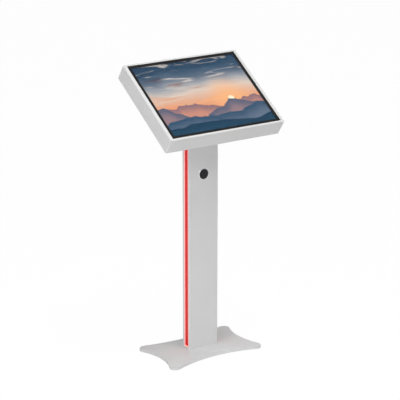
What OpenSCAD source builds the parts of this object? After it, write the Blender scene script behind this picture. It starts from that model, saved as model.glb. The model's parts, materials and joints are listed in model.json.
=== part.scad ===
// Information kiosk: a sloping touch screen on a slim folded-steel column with
// a light strip down each side, standing on a four-lobed steel plate.
// Origin: middle of the floor face, on the column's axis. +Z is up, the user
// stands on the -Y side and +X is to the user's right.

/* [Stance] */
// Height of the middle of the screen face above the floor
face_height = 1097; // [1020:1:1160]
// How far the middle of the screen face stands in front of the column's axis
face_forward = 28; // [20:1:34]
// Slope of the screen face from the horizontal, in degrees
head_tilt = 34; // [30:1:40]

/* [Head] */
// Width of the head
head_w = 540; // [520:1:600]
// Length of the head along its slope
head_h = 415; // [400:1:450]
// Thickness of the head
head_t = 70; // [69:1:84]
// Radius of the head's four corners
corner_r = 4.5; // [3.5:0.5:10]
// Rounding of the edge between the face and the walls
face_edge_r = 3; // [2:0.5:3.5]
// Sheet thickness of the head
head_sheet = 2; // [1.5:0.1:2.4]
// Width of the bezel at the left and right
bezel_side = 13.5; // [12:0.5:20]
// Width of the bezel at the top and bottom
bezel_end = 9; // [8:0.5:18]
// Width of the fold that the rear cover screws to
fold_w = 14; // [12:0.5:18]

/* [Screen] */
// Thickness of the touch glass
glass_t = 4; // [3:0.5:5]
// How far the glass reaches behind the bezel
glass_lap = 5; // [4:0.5:6]
// Thickness of the bonding tape between bezel and glass
tape_t = 0.5; // [0.4:0.1:1]
// Width of the black border round the picture
border_w = 12.5; // [8:0.5:14]
// Thickness of the foam gasket between glass and display
gasket_t = 1.5; // [1:0.1:2]
// Thickness of the display's chassis
panel_t = 12; // [11:0.5:14]
// Thickness of the display cell
cell_t = 1.5; // [1:0.1:2]
// Distance of each panel rail's middle from the side of the window
rail_inset = 78.5; // [70:0.5:82]
// Width of a panel rail
rail_w = 30; // [24:1:34]
// Depth of a panel rail
rail_h = 14; // [12:0.5:15]

/* [Equipment] */
// Thickness of the equipment plate
plate_t = 1.5; // [1:0.1:2]
// Height of the mini computer
pc_t = 24; // [20:0.5:24.5]
// Length of the mini computer
pc_l = 140; // [120:1:142]
// Width of the mini computer
pc_w = 100; // [90:1:104]
// Height of the power supply
psu_t = 25; // [22:0.5:25.5]
// Length of the power supply
psu_l = 140; // [120:1:142]
// Width of the power supply
psu_w = 98; // [90:1:104]
// Half the space between the computer and the power supply
equipment_gap = 25; // [22:1:26]
// Travel of the computer's power button
button_travel = 1.2; // [0.8:0.1:1.5]
// Side of the cooling fan's frame
fan_size = 60; // [50:1:64]
// Depth of the cooling fan
fan_t = 15; // [12:0.5:20]
// Distance of the fan, and of the intake slots, from the middle
fan_x = 105; // [100:1:112]
// Distance of the fan below the middle of the head
fan_y = 118; // [114:1:124]
// Length of a speaker box
speaker_l = 96; // [80:1:110]
// Width of a speaker box
speaker_w = 46; // [40:1:50]
// Depth of a speaker box
speaker_t = 22; // [18:0.5:26]

/* [Rear cover] */
// Thickness of the rear cover
cover_t = 2; // [1.5:0.1:2.4]
// Width of the opening behind the service hatch
hatch_w = 320; // [300:1:330]
// Height of the opening behind the service hatch
hatch_h = 140; // [134:1:142]
// Distance of that opening from the head's upper edge
hatch_inset = 22; // [21:0.5:26]
// Gap all round the hatch
hatch_gap = 0.8; // [0.7:0.1:1.2]
// Distance of each hinge from the middle
hinge_x = 110; // [90:1:125]
// Length of a hinge
hinge_l = 40; // [30:1:50]
// Radius of a hinge knuckle
knuckle_r = 3; // [2.6:0.1:3.4]
// Radius of a hinge pin
pin_r = 1.5; // [1.2:0.1:1.8]
// Distance of the lock from the hatch's lower edge
lock_inset = 24; // [22:0.5:26]
// Radius of the lock barrel
lock_r = 8; // [7.5:0.1:8.5]
// Depth of the lock barrel behind the cover
lock_l = 14; // [13:0.5:16]
// How far the locked cam hooks behind the cover
cam_hook = 9; // [7:0.5:11]
// Width of a vent slot
slot_w = 3.5; // [3:0.1:4]
// Distance from one vent slot to the next
slot_pitch = 7; // [6:0.5:8]

/* [Column] */
// Width of the column
col_w = 142; // [134:1:156]
// Depth of the column
col_d = 45; // [44:0.5:54]
// Sheet thickness of the column
col_sheet = 2; // [1.5:0.1:2.4]
// Radius of the column's front edges
col_edge_r = 3; // [2.5:0.1:4]
// Width of the folds that the column's rear cover screws to
col_fold = 9; // [8:0.5:10]
// Thickness of the flanges welded into the column
flange_t = 6; // [5:0.5:8]

/* [Light strips] */
// Distance from the column's front face to the middle of a strip
strip_back = 20; // [20:0.5:21]
// Width of the slot in the column's side
dish_w = 32; // [28:0.5:32]
// Width of the lens
lens_w = 20; // [16:0.5:20]
// Thickness of the lens
lens_t = 2.5; // [2:0.1:3]
// Depth of the pale dish in front of the lens
dish_depth = 1; // [0.8:0.1:1.8]
// Distance of the strip's lower end above the base plate
strip_foot = 10; // [8:0.5:30]
// Distance of the strip's upper end below the head
strip_top = 12; // [10:0.5:30]
// Length of the driver box of the light strips
driver_l = 110; // [90:1:140]
// Width of the driver box
driver_w = 34; // [28:1:40]
// Depth of the driver box
driver_t = 16; // [12:0.5:18]
// Height of the driver box above the floor
driver_z = 306; // [260:1:360]

/* [Badge] */
// Radius of the round badge
badge_r = 23; // [16:0.5:30]
// Height of the badge's middle above the floor
badge_z = 765; // [700:1:850]
// Thickness of the badge
badge_t = 3; // [2:0.5:4]
// Width of the badge's light rim
badge_rim = 1.6; // [1:0.1:3]

/* [Base] */
// Width of the base plate over its lobes
base_w = 446; // [400:1:500]
// Depth of the base plate over its lobes
base_d = 273; // [240:1:320]
// Thickness of the base plate at the tips of its lobes
base_t = 10; // [9:0.5:12]
// How far the middle of the base plate rises over those tips
crown_h = 6; // [2:0.5:9]
// Radius of a lobe
lobe_r = 23; // [19:0.5:30]
// How far the long sides draw in between the lobes
waist_long = 37; // [30:0.5:44]
// How far the short sides draw in between the lobes
waist_short = 28; // [24:0.5:36]
// Thickness of the rubber mat under the base plate
mat_t = 1; // [1:0.1:3]
// How far the mat's edge lies inside the plate's
mat_inset = 5; // [3:0.5:12]

/* [Power inlet] */
// Height of the inlet's middle above the floor
inlet_z = 98; // [92:1:140]
// Width of the inlet's flange
inlet_w = 32; // [30:0.5:36]
// Height of the inlet's flange
inlet_h = 62; // [60:0.5:66]
// Depth of the inlet's body behind its flange
inlet_d = 24; // [23:0.5:26]
// Diameter of the mains lead inside the column
lead_d = 6; // [5:0.5:7]

/* [Hidden] */

// Clearances, how far a cut runs over, and how far fused shapes meet
gap = 0.3;
close_fit = 0.1;
running = 0.05;
over = 1;
merge = 0.01;

// Metric fasteners: shank, head and nut sizes, and how far tips stand past
m3_r = 1.5;
m3_head_r = 2.8;
m3_head_h = 1.8;
m4_r = 2;
m4_head_r = 3.8;
m4_head_h = 2.2;
m4_nut_r = 4.04;
m4_nut_h = 3.2;
m6_r = 3;
m6_head_r = 5;
m6_head_h = 4;
m6_nut_r = 5.77;
m6_nut_h = 5;
m8_r = 4;
m8_head_r = 6.5;
m8_head_h = 4.4;
tip_past = 3;

// Levels inside the head, measured from the face towards the back
z_tape = -head_sheet;
z_glass = z_tape - tape_t;
z_gasket = z_glass - glass_t;
z_panel = z_gasket - gasket_t;
z_rail = z_panel - panel_t;
z_plate = z_rail - rail_h;
z_gear = z_plate - plate_t;
z_back = -head_t;
z_cover = z_back + cover_t;

// Head outlines
cavity_w = head_w - 2 * head_sheet;
cavity_h = head_h - 2 * head_sheet;
cavity_r = corner_r - head_sheet;
window_w = head_w - 2 * bezel_side;
window_h = head_h - 2 * bezel_end;
cover_w = cavity_w - 2 * gap;
cover_h = cavity_h - 2 * gap;
cover_r = cavity_r - gap;
glass_w = window_w + 2 * glass_lap;
glass_h = window_h + 2 * glass_lap;
cell_lap = 4;
rail_t = 2;
timing_w = 250;
timing_h = 46;
timing_y = -window_h / 2 + 21 + timing_h / 2;
cell_w = window_w - 2 * border_w + 2 * cell_lap;
cell_h = window_h - 2 * border_w + 2 * cell_lap;

// Column levels and the strip's place in its side wall
base_top = mat_t + base_t + crown_h;
cover_back = col_d / 2;
fold_y = cover_back - cover_t - col_sheet;
strip_y = -col_d / 2 + strip_back;
tray_lap = 1.5;
tray_skin = 1.2;
lens_ledge = 1;
led_room = 5;
tray_depth = dish_depth + lens_t + led_room + tray_skin;
led_w = 12;
led_t = 1.6;
led_pitch = 20;
led_chip = 5;
led_chip_h = 1.2;
driver_x = -10 - driver_w;

// Height of the head's rear face above the floor where it passes over y
function underside(y) =
    face_height + (y + face_forward) * tan(head_tilt) - head_t / cos(head_tilt);
// Place along the head's slope of the point at world y and level z
function slope_at(y, z) =
    (y + face_forward + z * sin(head_tilt)) / cos(head_tilt);

strip_z0 = base_top + strip_foot;
strip_z1 = underside(strip_y - dish_w / 2) - strip_top;
strip_len = strip_z1 - strip_z0;
tray_end = 5;
tray_land = 0.5;

// The neck: where the column meets the head
neck_y = slope_at(0, z_back - flange_t);
neck_plate_w = 220;
neck_plate_h = 76;
neck_plate_t = 4;
neck_bolt_x = 42;
neck_bolt_y = 10;
cable_r = 10;

// Hatch and lock
hatch_top = head_h / 2 - hatch_inset;
hatch_low = hatch_top - hatch_h;
panel_w = hatch_w - 2 * hatch_gap;
panel_h = hatch_h - 2 * hatch_gap;
panel_skin = cover_t - gap;
pin_y = hatch_top - hatch_gap / 2;
pin_z = z_back - knuckle_r - gap;
leaf_t = 1.5;
leaf_w = 17;
knuckle_l = (hinge_l - 2 * gap) / 3;
leaf_notch = knuckle_r + gap + 0.5;
rivet_r = 1.6;
lock_y = hatch_low + hatch_gap + lock_inset;
plug_r = 5;
lock_flange = 2;
lock_nut_r = 10.2;
lock_nut_h = 3.5;
cam_t = 2;
cam_w = 12;
cam_leg = lock_nut_r + 1.6;
cam_reach = lock_inset + hatch_gap + cam_hook;
ledge_w = 18;
ledge_in = 8;
ledge_t = 1.5;
rib_inset = 14;
rib_t = 1.2;
rib_h = 6;

// Equipment
rail_x = window_w / 2 - rail_inset;
plate_w = 2 * rail_x + rail_w;
plate_vent_w = 110;
plate_vent_h = 50;
plate_vent_x = 90;
plate_vent_y = -20;
plate_pass_w = 50;
plate_pass_h = 60;
plate_h = 350;
gear_y = hatch_top - over;
pc_x = -equipment_gap - pc_l;
psu_x = equipment_gap;
button_x = -equipment_gap - 20;
button_y = gear_y - 20;
button_r = 4;
button_depth = 5;
least_proud = 0.8;
vent_deep = 1;
psu_block_h = 11;
psu_block_d = 13;
board_t = 1.6;
board_gap = 6;
standoff_r = 2.8;
display_board_w = 130;
display_board_h = 60;
touch_board_w = 56;
touch_board_h = 34;
board_y = -128;
display_board_x = -58;
touch_board_x = 92;
speaker_x = (cavity_w - speaker_w) / 2 - fold_w - 4;
speaker_y = -100;
speaker_cone_r = 17;
fan_hub_r = 13;
fan_bore_r = fan_size / 2 - 1.5;
fan_hole = fan_size / 2 - 5;
fan_shaft_r = 1.5;

// Foot of the column
foot_x = 40;
foot_y = 8;
foot_room_d = fold_y + col_d / 2 - col_sheet;
foot_mid_y = fold_y - foot_room_d / 2;

// Inlet
inlet_flange_t = 2.5;
inlet_body_w = 27;
inlet_body_h = 54;
socket_w = 24.5;
socket_h = 17;
socket_z = -11;
socket_depth = 16;
contact_tip = 4;
switch_z = 15;
switch_w = 13;
switch_h = 20;
switch_axle_r = 1.5;
switch_axle_in = 3;
switch_well = 12;
switch_tilt = 8;
ear_out = 9;
ear_h = 13;

// Colours
paint = "#e4e4e3";
inner_paint = "#c9cacb";
zinc = "#aab0b4";
steel = "#8f9498";
black = "#1d1e20";
rubber = "#2a2a2b";
red_lens = "#e0262e";
pale_pink = "#f4d8d6";
board_green = "#1f6b45";

// Moves its children into the head: z = 0 is the face, +Y goes up the slope
module at_head() {
    translate([0, -face_forward, face_height]) rotate([head_tilt, 0, 0]) children();
}

// A rectangle with round corners, centred
module round_rect(w, h, r) {
    square([w - 2 * r, h], center = true);
    square([w, h - 2 * r], center = true);
    for (x = [-1, 1], y = [-1, 1])
        translate([x * (w / 2 - r), y * (h / 2 - r)]) circle(r = r, $fn = 48);
}

// A slot with round ends along X, centred
module slot(length, width) {
    square([length - width, width], center = true);
    for (x = [-1, 1])
        translate([x * (length - width) / 2, 0]) circle(d = width, $fn = 24);
}

// A field of slots stacked along Y, centred
module slot_field(length, height) {
    rows = floor((height - slot_w) / slot_pitch);
    for (i = [0 : rows])
        translate([0, (i - rows / 2) * slot_pitch]) slot(length, slot_w);
}

// Slots cut to the outline of a circle
module round_grille(r) {
    rows = floor((r - slot_w / 2) / slot_pitch);
    for (i = [-rows : rows])
        translate([0, i * slot_pitch])
            slot(2 * sqrt(r * r - pow(abs(i) * slot_pitch + slot_w / 2, 2)), slot_w);
}

// A pan-head screw, its shank going up from the underside of the head
module pan_screw(shank_r, length, head_r, head_h) {
    cylinder(r = shank_r, h = length, $fn = 24);
    translate([0, 0, -head_h * 0.6]) cylinder(r = head_r, h = head_h * 0.6, $fn = 32);
    translate([0, 0, -head_h])
        cylinder(r1 = head_r * 0.72, r2 = head_r, h = head_h * 0.4, $fn = 32);
}

// A socket-head bolt, its shank going up from the underside of the head
module socket_bolt(shank_r, length, head_r, head_h) {
    cylinder(r = shank_r, h = length, $fn = 32);
    difference() {
        translate([0, 0, -head_h]) cylinder(r = head_r, h = head_h, $fn = 40);
        translate([0, 0, -head_h - over])
            cylinder(r = head_r * 0.5, h = over + head_h * 0.55, $fn = 6);
    }
}

// A hexagon nut with its bore, standing on z = 0
module hex_nut(r, h, bore_r) {
    difference() {
        cylinder(r = r, h = h, $fn = 6);
        translate([0, 0, -over]) cylinder(r = bore_r, h = h + 2 * over, $fn = 32);
    }
}

// Cuts away everything above the head's rear face, lowered by drop
module below_head(drop) {
    cut = 2 * head_w;
    difference() {
        children();
        at_head() translate([-cut / 2, -cut / 2, z_back - drop]) cube(cut);
    }
}

// Base

// Radius of the arc that draws a side in by waist between two lobes, where
// the lobes' centres lie half apart from the middle
function waist_r(half, waist) =
    let (k = lobe_r - waist)
    (half * half + k * k - lobe_r * lobe_r) / (2 * (lobe_r - k));

// Points on an arc from angle a0 to a1
function arc(centre, r, a0, a1, steps) = [
    for (i = [0 : steps])
        let (a = a0 + (a1 - a0) * i / steps) centre + r * [cos(a), sin(a)]
];

function turned(points) = [for (i = [len(points) - 1 : -1 : 0]) points[i]];

// One quarter of the plate's edge drawn in by inset, from the middle of a
// short side over the lobe to the middle of a long side
function base_quarter(inset) =
    let (cx = base_w / 2 - lobe_r,
         cy = base_d / 2 - lobe_r,
         short_r = waist_r(cy, waist_short),
         long_r = waist_r(cx, waist_long),
         short_c = [base_w / 2 - waist_short + short_r, 0],
         long_c = [0, base_d / 2 - waist_long + long_r],
         to_short = atan2(short_c.y - cy, short_c.x - cx),
         to_long = atan2(long_c.y - cy, long_c.x - cx))
    concat(
        arc(short_c, short_r + inset, 180, 180 + to_short, 10),
        arc([cx, cy], lobe_r - inset, to_short + 3, to_long - 3, 22),
        arc(long_c, long_r + inset, to_long + 180, 270, 14)
    );

module base_outline(inset) {
    q = base_quarter(inset);
    half = concat(q, [for (p = turned(q)) if (p.x > 0.01) [-p.x, p.y]]);
    polygon(concat(half, [for (p = turned(half)) if (p.y > 0.01) [p.x, -p.y]]));
}

module at_foot_bolts() {
    for (x = [-1, 1], y = [-1, 1])
        translate([x * foot_x, foot_mid_y + y * foot_y, 0]) children();
}

foot_counterbore = m8_head_h + 1.2;

crown_bands = 12;

// A round body, level where the column stands and falling to the lobes' tips
module crown() {
    seat_r = norm([col_w, col_d]) / 2 + 1;
    tip_r = norm([base_w / 2 - lobe_r, base_d / 2 - lobe_r]) + lobe_r;
    fall = [for (i = [0 : crown_bands]) let (t = i / crown_bands)
        [seat_r + t * (tip_r - seat_r), base_top - t * t * crown_h]];
    rotate_extrude($fn = 128)
        polygon(concat([[0, mat_t], [0, base_top]], fall, [[tip_r, mat_t]]));
}

module base_plate() color(paint) {
    difference() {
        intersection() {
            translate([0, 0, mat_t]) linear_extrude(base_t + crown_h) base_outline(0);
            crown();
        }
        at_foot_bolts() {
            translate([0, 0, mat_t - over])
                cylinder(r = m8_head_r + 0.5, h = over + foot_counterbore, $fn = 48);
            cylinder(r = m8_r + close_fit, h = base_top + over, $fn = 48);
        }
    }
}

module floor_mat() color(rubber) {
    linear_extrude(mat_t) base_outline(mat_inset);
}

module foot_flange() color(zinc) {
    difference() {
        translate([-col_w / 2 + col_sheet, foot_mid_y - foot_room_d / 2, base_top])
            cube([col_w - 2 * col_sheet, foot_room_d, flange_t]);
        at_foot_bolts() translate([0, 0, base_top - over])
            cylinder(r = m8_r + close_fit, h = flange_t + 2 * over, $fn = 48);
    }
}

module foot_bolts() color(steel) {
    length = base_t + crown_h - foot_counterbore + flange_t + 2;
    at_foot_bolts() translate([0, 0, mat_t + foot_counterbore])
        socket_bolt(m8_r, length, m8_head_r, m8_head_h);
}

// Column

// The column's outline, round at its two front edges
module column_outline() {
    r = col_edge_r;
    translate([-col_w / 2, -col_d / 2 + r]) square([col_w, col_d - r]);
    translate([-col_w / 2 + r, -col_d / 2]) square([col_w - 2 * r, r]);
    for (x = [-1, 1])
        translate([x * (col_w / 2 - r), -col_d / 2 + r]) circle(r = r, $fn = 40);
}

// Length of column stock, before the head's slope cuts it off
column_stock = 1.5 * face_height;

module column_shell() color(paint) {
    inner_w = col_w - 2 * col_sheet;
    below_head(0) difference() {
        translate([0, 0, base_top]) linear_extrude(column_stock) {
            difference() {
                column_outline();
                translate([-inner_w / 2, -col_d / 2 + col_sheet]) square([inner_w, col_d]);
            }
            for (x = [-1, 1])
                translate([x * (inner_w / 2 - col_fold / 2), fold_y + col_sheet / 2])
                    square([col_fold + 2 * merge, col_sheet], center = true);
        }
        for (x = [-1, 1])
            translate([x * col_w / 2, strip_y, strip_z0 + strip_len / 2])
                cube([4 * col_sheet, dish_w + 2 * close_fit, strip_len + 2 * close_fit],
                     center = true);
        at_cover_screws() translate([0, -over - col_sheet, 0]) rotate([-90, 0, 0])
            cylinder(r = m4_r + close_fit, h = col_sheet + 2 * over, $fn = 32);
    }
}

cover_screw_rows = 5;
cover_screw_foot = 25;
cover_screw_top = 60;

// The column cover's screws, at the rear face of the folds
module at_cover_screws() {
    low = base_top + cover_screw_foot;
    high = underside(0) - cover_screw_top;
    for (x = [-1, 1], i = [0 : cover_screw_rows - 1])
        translate([x * (col_w / 2 - col_sheet - col_fold / 2), fold_y + col_sheet,
                   low + i * (high - low) / (cover_screw_rows - 1)])
            children();
}

module column_rear_cover() color(paint) {
    w = col_w - 2 * col_sheet - 2 * gap;
    below_head(gap) difference() {
        translate([-w / 2, cover_back - cover_t, base_top + gap])
            cube([w, cover_t, column_stock]);
        at_cover_screws() rotate([-90, 0, 0]) translate([0, 0, -over])
            cylinder(r = m4_r + close_fit, h = cover_t + 2 * over, $fn = 32);
        translate([0, cover_back - cover_t / 2, inlet_z])
            cube([inlet_body_w + 2 * close_fit, 4 * cover_t, inlet_body_h + 2 * close_fit],
                 center = true);
        at_inlet_screws() translate([0, over, 0]) rotate([90, 0, 0])
            cylinder(r = m3_r + close_fit, h = cover_t + 2 * over, $fn = 24);
    }
}

module column_cover_screws() color(steel) {
    at_cover_screws() translate([0, cover_t, 0]) rotate([90, 0, 0])
        pan_screw(m4_r, cover_t + col_sheet + tip_past, m4_head_r, m4_head_h);
}

// Sloping flange welded into the column's top
module top_flange() color(zinc) {
    w = col_w - 2 * col_sheet;
    intersection() {
        translate([-w / 2, -col_d / 2 + col_sheet, base_top]) cube([w, foot_room_d, column_stock]);
        at_head() translate([0, neck_y, z_back - flange_t]) difference() {
            translate([-col_w, -col_w, 0]) cube([2 * col_w, 2 * col_w, flange_t]);
            at_neck_bolts() translate([0, 0, -over])
                cylinder(r = m6_r + close_fit, h = flange_t + 2 * over, $fn = 40);
            translate([0, 0, -over]) cylinder(r = cable_r, h = flange_t + 2 * over, $fn = 64);
        }
    }
}

module at_neck_bolts() {
    for (x = [-1, 1], y = [-1, 1])
        translate([x * neck_bolt_x, y * neck_bolt_y, 0]) children();
}

module neck_nuts() color(steel) {
    at_head() translate([0, neck_y, z_back - flange_t - m6_nut_h])
        at_neck_bolts() hex_nut(m6_nut_r, m6_nut_h, m6_r + close_fit);
}

module neck_bolts() color(steel) {
    length = neck_plate_t + cover_t + flange_t + m6_nut_h + 1;
    at_head() translate([0, neck_y, z_cover + neck_plate_t]) at_neck_bolts()
        mirror([0, 0, 1]) socket_bolt(m6_r, length, m6_head_r, m6_head_h);
}

// Light strips, drawn on the right side and mirrored for the left

module on_side(side) {
    mirror([side < 0 ? 1 : 0, 0, 0]) children();
}

// A block at the strip, from in_x behind the column's side to out_x behind it
module strip_block(half_w, length, out_x, in_x) {
    translate([col_w / 2 - in_x, strip_y - half_w, strip_z0 + (strip_len - length) / 2])
        cube([in_x - out_x, 2 * half_w, length]);
}

lens_len = strip_len - 2 * tray_end;

module light_tray(side) color(pale_pink) {
    slope = (dish_w - lens_w) / 2 - close_fit;
    on_side(side) difference() {
        union() {
            strip_block(dish_w / 2 + tray_lap, strip_len + 2 * tray_lap,
                        col_sheet, col_sheet + tray_skin);
            strip_block(dish_w / 2, strip_len, 0, col_sheet + tray_skin);
            strip_block(lens_w / 2 + tray_skin, lens_len + 2 * tray_skin,
                        col_sheet, tray_depth);
        }
        hull() {
            strip_block(dish_w / 2 - tray_land, strip_len - 2 * tray_land, -merge, 0);
            strip_block(dish_w / 2 - slope, strip_len - 2 * tray_end,
                        dish_depth - merge, dish_depth);
        }
        strip_block(lens_w / 2 + close_fit, lens_len + 2 * close_fit, 0, dish_depth + lens_t);
        strip_block(lens_w / 2 - lens_ledge, lens_len - 2 * lens_ledge,
                    0, tray_depth - tray_skin);
    }
}

module light_lens(side) color(red_lens) {
    on_side(side) strip_block(lens_w / 2, lens_len, dish_depth, dish_depth + lens_t);
}

module led_bar(side) color(board_green) {
    chips = floor((lens_len - 3 * led_pitch) / led_pitch);
    on_side(side) {
        strip_block(led_w / 2, lens_len - 2 * led_pitch,
                    tray_depth - tray_skin - led_t, tray_depth - tray_skin);
        for (i = [0 : chips])
            translate([col_w / 2 - tray_depth + tray_skin + led_t + led_chip_h / 2 - merge,
                       strip_y, strip_z0 + strip_len / 2 + (i - chips / 2) * led_pitch])
                cube([led_chip_h, led_chip, led_chip], center = true);
    }
}

// Driver of the light strips, screwed by its two lugs behind the front wall
module led_driver() color(inner_paint) {
    lug = [16, 5, 8];
    translate([driver_x, -col_d / 2 + col_sheet, driver_z]) {
        cube([driver_w, driver_t, driver_l]);
        for (z = [-lug.z, driver_l])
            translate([(driver_w - lug.x) / 2, 0, z]) difference() {
                cube(lug);
                translate([lug.x / 2, -over, lug.z / 2]) rotate([-90, 0, 0])
                    cylinder(r = m4_r, h = lug.y + 2 * over, $fn = 24);
            }
    }
}

// Badge

module at_badge() {
    translate([0, -col_d / 2, badge_z]) rotate([90, 0, 0]) children();
}

module badge_ring() color("#cfd0d0") {
    bevel = 0.6;
    at_badge() rotate_extrude($fn = 96) polygon([
        [badge_r - badge_rim, 0], [badge_r, 0], [badge_r, badge_t - bevel],
        [badge_r - bevel, badge_t], [badge_r - badge_rim, badge_t]
    ]);
}

module badge_disc() color(black) {
    sunk = 0.4;
    at_badge() cylinder(r = badge_r - badge_rim - close_fit, h = badge_t - sunk, $fn = 96);
}

// Power inlet, drawn from its mouth inwards: +Z here points into the column
module at_inlet() {
    translate([0, cover_back, inlet_z]) rotate([90, 0, 0]) children();
}

module at_inlet_screws() {
    for (x = [-1, 1])
        translate([x * (inlet_w / 2 + ear_out / 2), cover_back, inlet_z]) children();
}

module power_inlet() color(black) {
    mouth = inlet_flange_t + over;
    chamfer = 5;
    half_w = socket_w / 2;
    half_h = socket_h / 2;
    difference() {
        at_inlet() {
            translate([0, 0, -inlet_flange_t]) linear_extrude(inlet_flange_t) {
                round_rect(inlet_w, inlet_h, 3);
                round_rect(inlet_w + 2 * ear_out, ear_h, 4);
            }
            translate([-inlet_body_w / 2, -inlet_body_h / 2, 0])
                cube([inlet_body_w, inlet_body_h, inlet_d]);
        }
        // Socket for the lead's plug, with its three contacts left standing
        at_inlet() difference() {
            translate([0, socket_z, -mouth]) linear_extrude(mouth + socket_depth) polygon([
                [-half_w, -half_h], [half_w, -half_h], [half_w, half_h - chamfer],
                [half_w - chamfer, half_h], [chamfer - half_w, half_h],
                [-half_w, half_h - chamfer]
            ]);
            for (p = [[-7, -2], [7, -2], [0, 2]])
                translate([p.x, socket_z + p.y, contact_tip])
                    linear_extrude(socket_depth) square([2, 4], center = true);
        }
        // Well for the rocker
        at_inlet() translate([-switch_w / 2, switch_z - switch_h / 2, -mouth])
            cube([switch_w, switch_h, mouth + switch_well]);
        at_inlet() translate([0, switch_z, switch_axle_in]) rotate([0, 90, 0])
            cylinder(r = switch_axle_r + running, h = switch_w + 4, center = true, $fn = 32);
        at_inlet_screws() translate([0, inlet_flange_t + over, 0]) rotate([90, 0, 0])
            cylinder(r = m3_r + close_fit, h = inlet_flange_t + 2 * over, $fn = 24);
    }
}

// Rocker with two shallow faces, resting with its lower half pressed in
module inlet_switch() color("#b3161c") {
    w = switch_w - 2 * gap;
    half = switch_h / 2 - 4 * gap;
    proud = 5.6;
    ridge = 4.2;
    taper = 1.2;
    deep = 6;
    at_inlet() translate([0, switch_z, switch_axle_in]) rotate([switch_tilt, 0, 0]) {
        translate([-w / 2, 0, 0]) rotate([90, 0, 90]) linear_extrude(w) polygon([
            [-half, -proud], [0, -ridge], [half, -proud], [half - taper, deep / 3],
            [deep / 2, deep], [-deep / 2, deep], [-half + taper, deep / 3]
        ]);
        rotate([0, 90, 0])
            cylinder(r = switch_axle_r, h = switch_w + 3, center = true, $fn = 32);
    }
}

module inlet_screws() color(steel) {
    at_inlet_screws() translate([0, inlet_flange_t, 0]) rotate([90, 0, 0])
        pan_screw(m3_r, inlet_flange_t + cover_t + tip_past, m3_head_r, m3_head_h);
}

// Mains lead, held inside the column all the way from inlet to power supply

// A point given by its place in the head
function head_point(x, y, z) = [
    x,
    -face_forward + y * cos(head_tilt) - z * sin(head_tilt),
    face_height + y * sin(head_tilt) + z * cos(head_tilt)
];

// Route of the lead's middle, as points chosen by hand between its two ends:
// the top of the inlet and the front of the power supply
lead_start = inlet_z + inlet_body_h / 2;
lead_end = [psu_x + 35, gear_y - psu_w, z_gear - (psu_t - psu_block_h) / 2];
lead_route = [
    [0, 8, lead_start], [0, 8, lead_start + 10], [0, 8, lead_start + 30],
    [14, 6, 205], [24, 4, 300], [24, 4, 500], [20, 5, 700], [8, 8, 880],
    [0, 12, 950], [0, 13, 980], head_point(0, neck_y, -94),
    head_point(0, neck_y, -82), head_point(0, neck_y, -71), head_point(0, neck_y, -61),
    head_point(2, -14, -54), head_point(7, -5, -48), head_point(15, 9, -44),
    head_point(27, 28, -42), head_point(44, 46, -42), head_point(56, 60, -42.5),
    head_point(lead_end.x, lead_end.y - 16, lead_end.z),
    head_point(lead_end.x, lead_end.y - 8, lead_end.z),
    head_point(lead_end.x, lead_end.y, lead_end.z)
];
lead_steps = 3;
lead_sides = 8;

function spline(p0, p1, p2, p3, t) =
    0.5 * (2 * p1 + (p2 - p0) * t + (2 * p0 - 5 * p1 + 4 * p2 - p3) * t * t
           + (3 * p1 - p0 - 3 * p2 + p3) * t * t * t);

function route_point(route, i) = route[min(max(i, 0), len(route) - 1)];

function smooth_route(route, steps) = [
    for (i = [0 : len(route) - 2], s = [0 : steps - 1])
        spline(route_point(route, i - 1), route[i], route[i + 1],
               route_point(route, i + 2), s / steps),
    route[len(route) - 1]
];

function unit(v) = v / norm(v);

module tube(points, r, sides) {
    last = len(points) - 1;
    rings = [
        for (i = [0 : last])
            let (along = unit(points[min(i + 1, last)] - points[max(i - 1, 0)]),
                 u = unit([1, 0, 0] - along.x * along),
                 v = cross(along, u))
            for (k = [0 : sides - 1])
                points[i] + r * (u * cos(360 * k / sides) + v * sin(360 * k / sides))
    ];
    faces = concat(
        [[for (k = [sides - 1 : -1 : 0]) k]],
        [for (i = [0 : last - 1], k = [0 : sides - 1])
            let (a = i * sides + k, b = i * sides + (k + 1) % sides)
            each [[a, b, b + sides], [a, b + sides, a + sides]]],
        [[for (k = [0 : sides - 1]) last * sides + k]]
    );
    polyhedron(points = rings, faces = [for (f = faces) [for (k = [len(f) - 1 : -1 : 0]) f[k]]]);
}

module mains_lead() color("#26262a") {
    tube(smooth_route(lead_route, lead_steps), lead_d / 2, lead_sides);
}

module cable_grommet() color(rubber) {
    lip = 2;
    wall = 2.2;
    depth = flange_t + cover_t + neck_plate_t;
    at_head() translate([0, neck_y, z_back - flange_t]) difference() {
        union() {
            cylinder(r = cable_r - close_fit, h = depth + lip, $fn = 64);
            translate([0, 0, depth]) cylinder(r = cable_r + lip, h = lip, $fn = 64);
        }
        translate([0, 0, -over])
            cylinder(r = cable_r - wall, h = depth + lip + 2 * over, $fn = 48);
    }
}

// Head

// One rounded corner post of the head, its face edge rounded over
module head_post() {
    translate([0, 0, z_back]) cylinder(r = corner_r, h = head_t - face_edge_r, $fn = 36);
    translate([0, 0, -face_edge_r]) rotate_extrude($fn = 36)
        translate([corner_r - face_edge_r, 0]) intersection() {
            circle(r = face_edge_r, $fn = 24);
            square(face_edge_r);
        }
}

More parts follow.
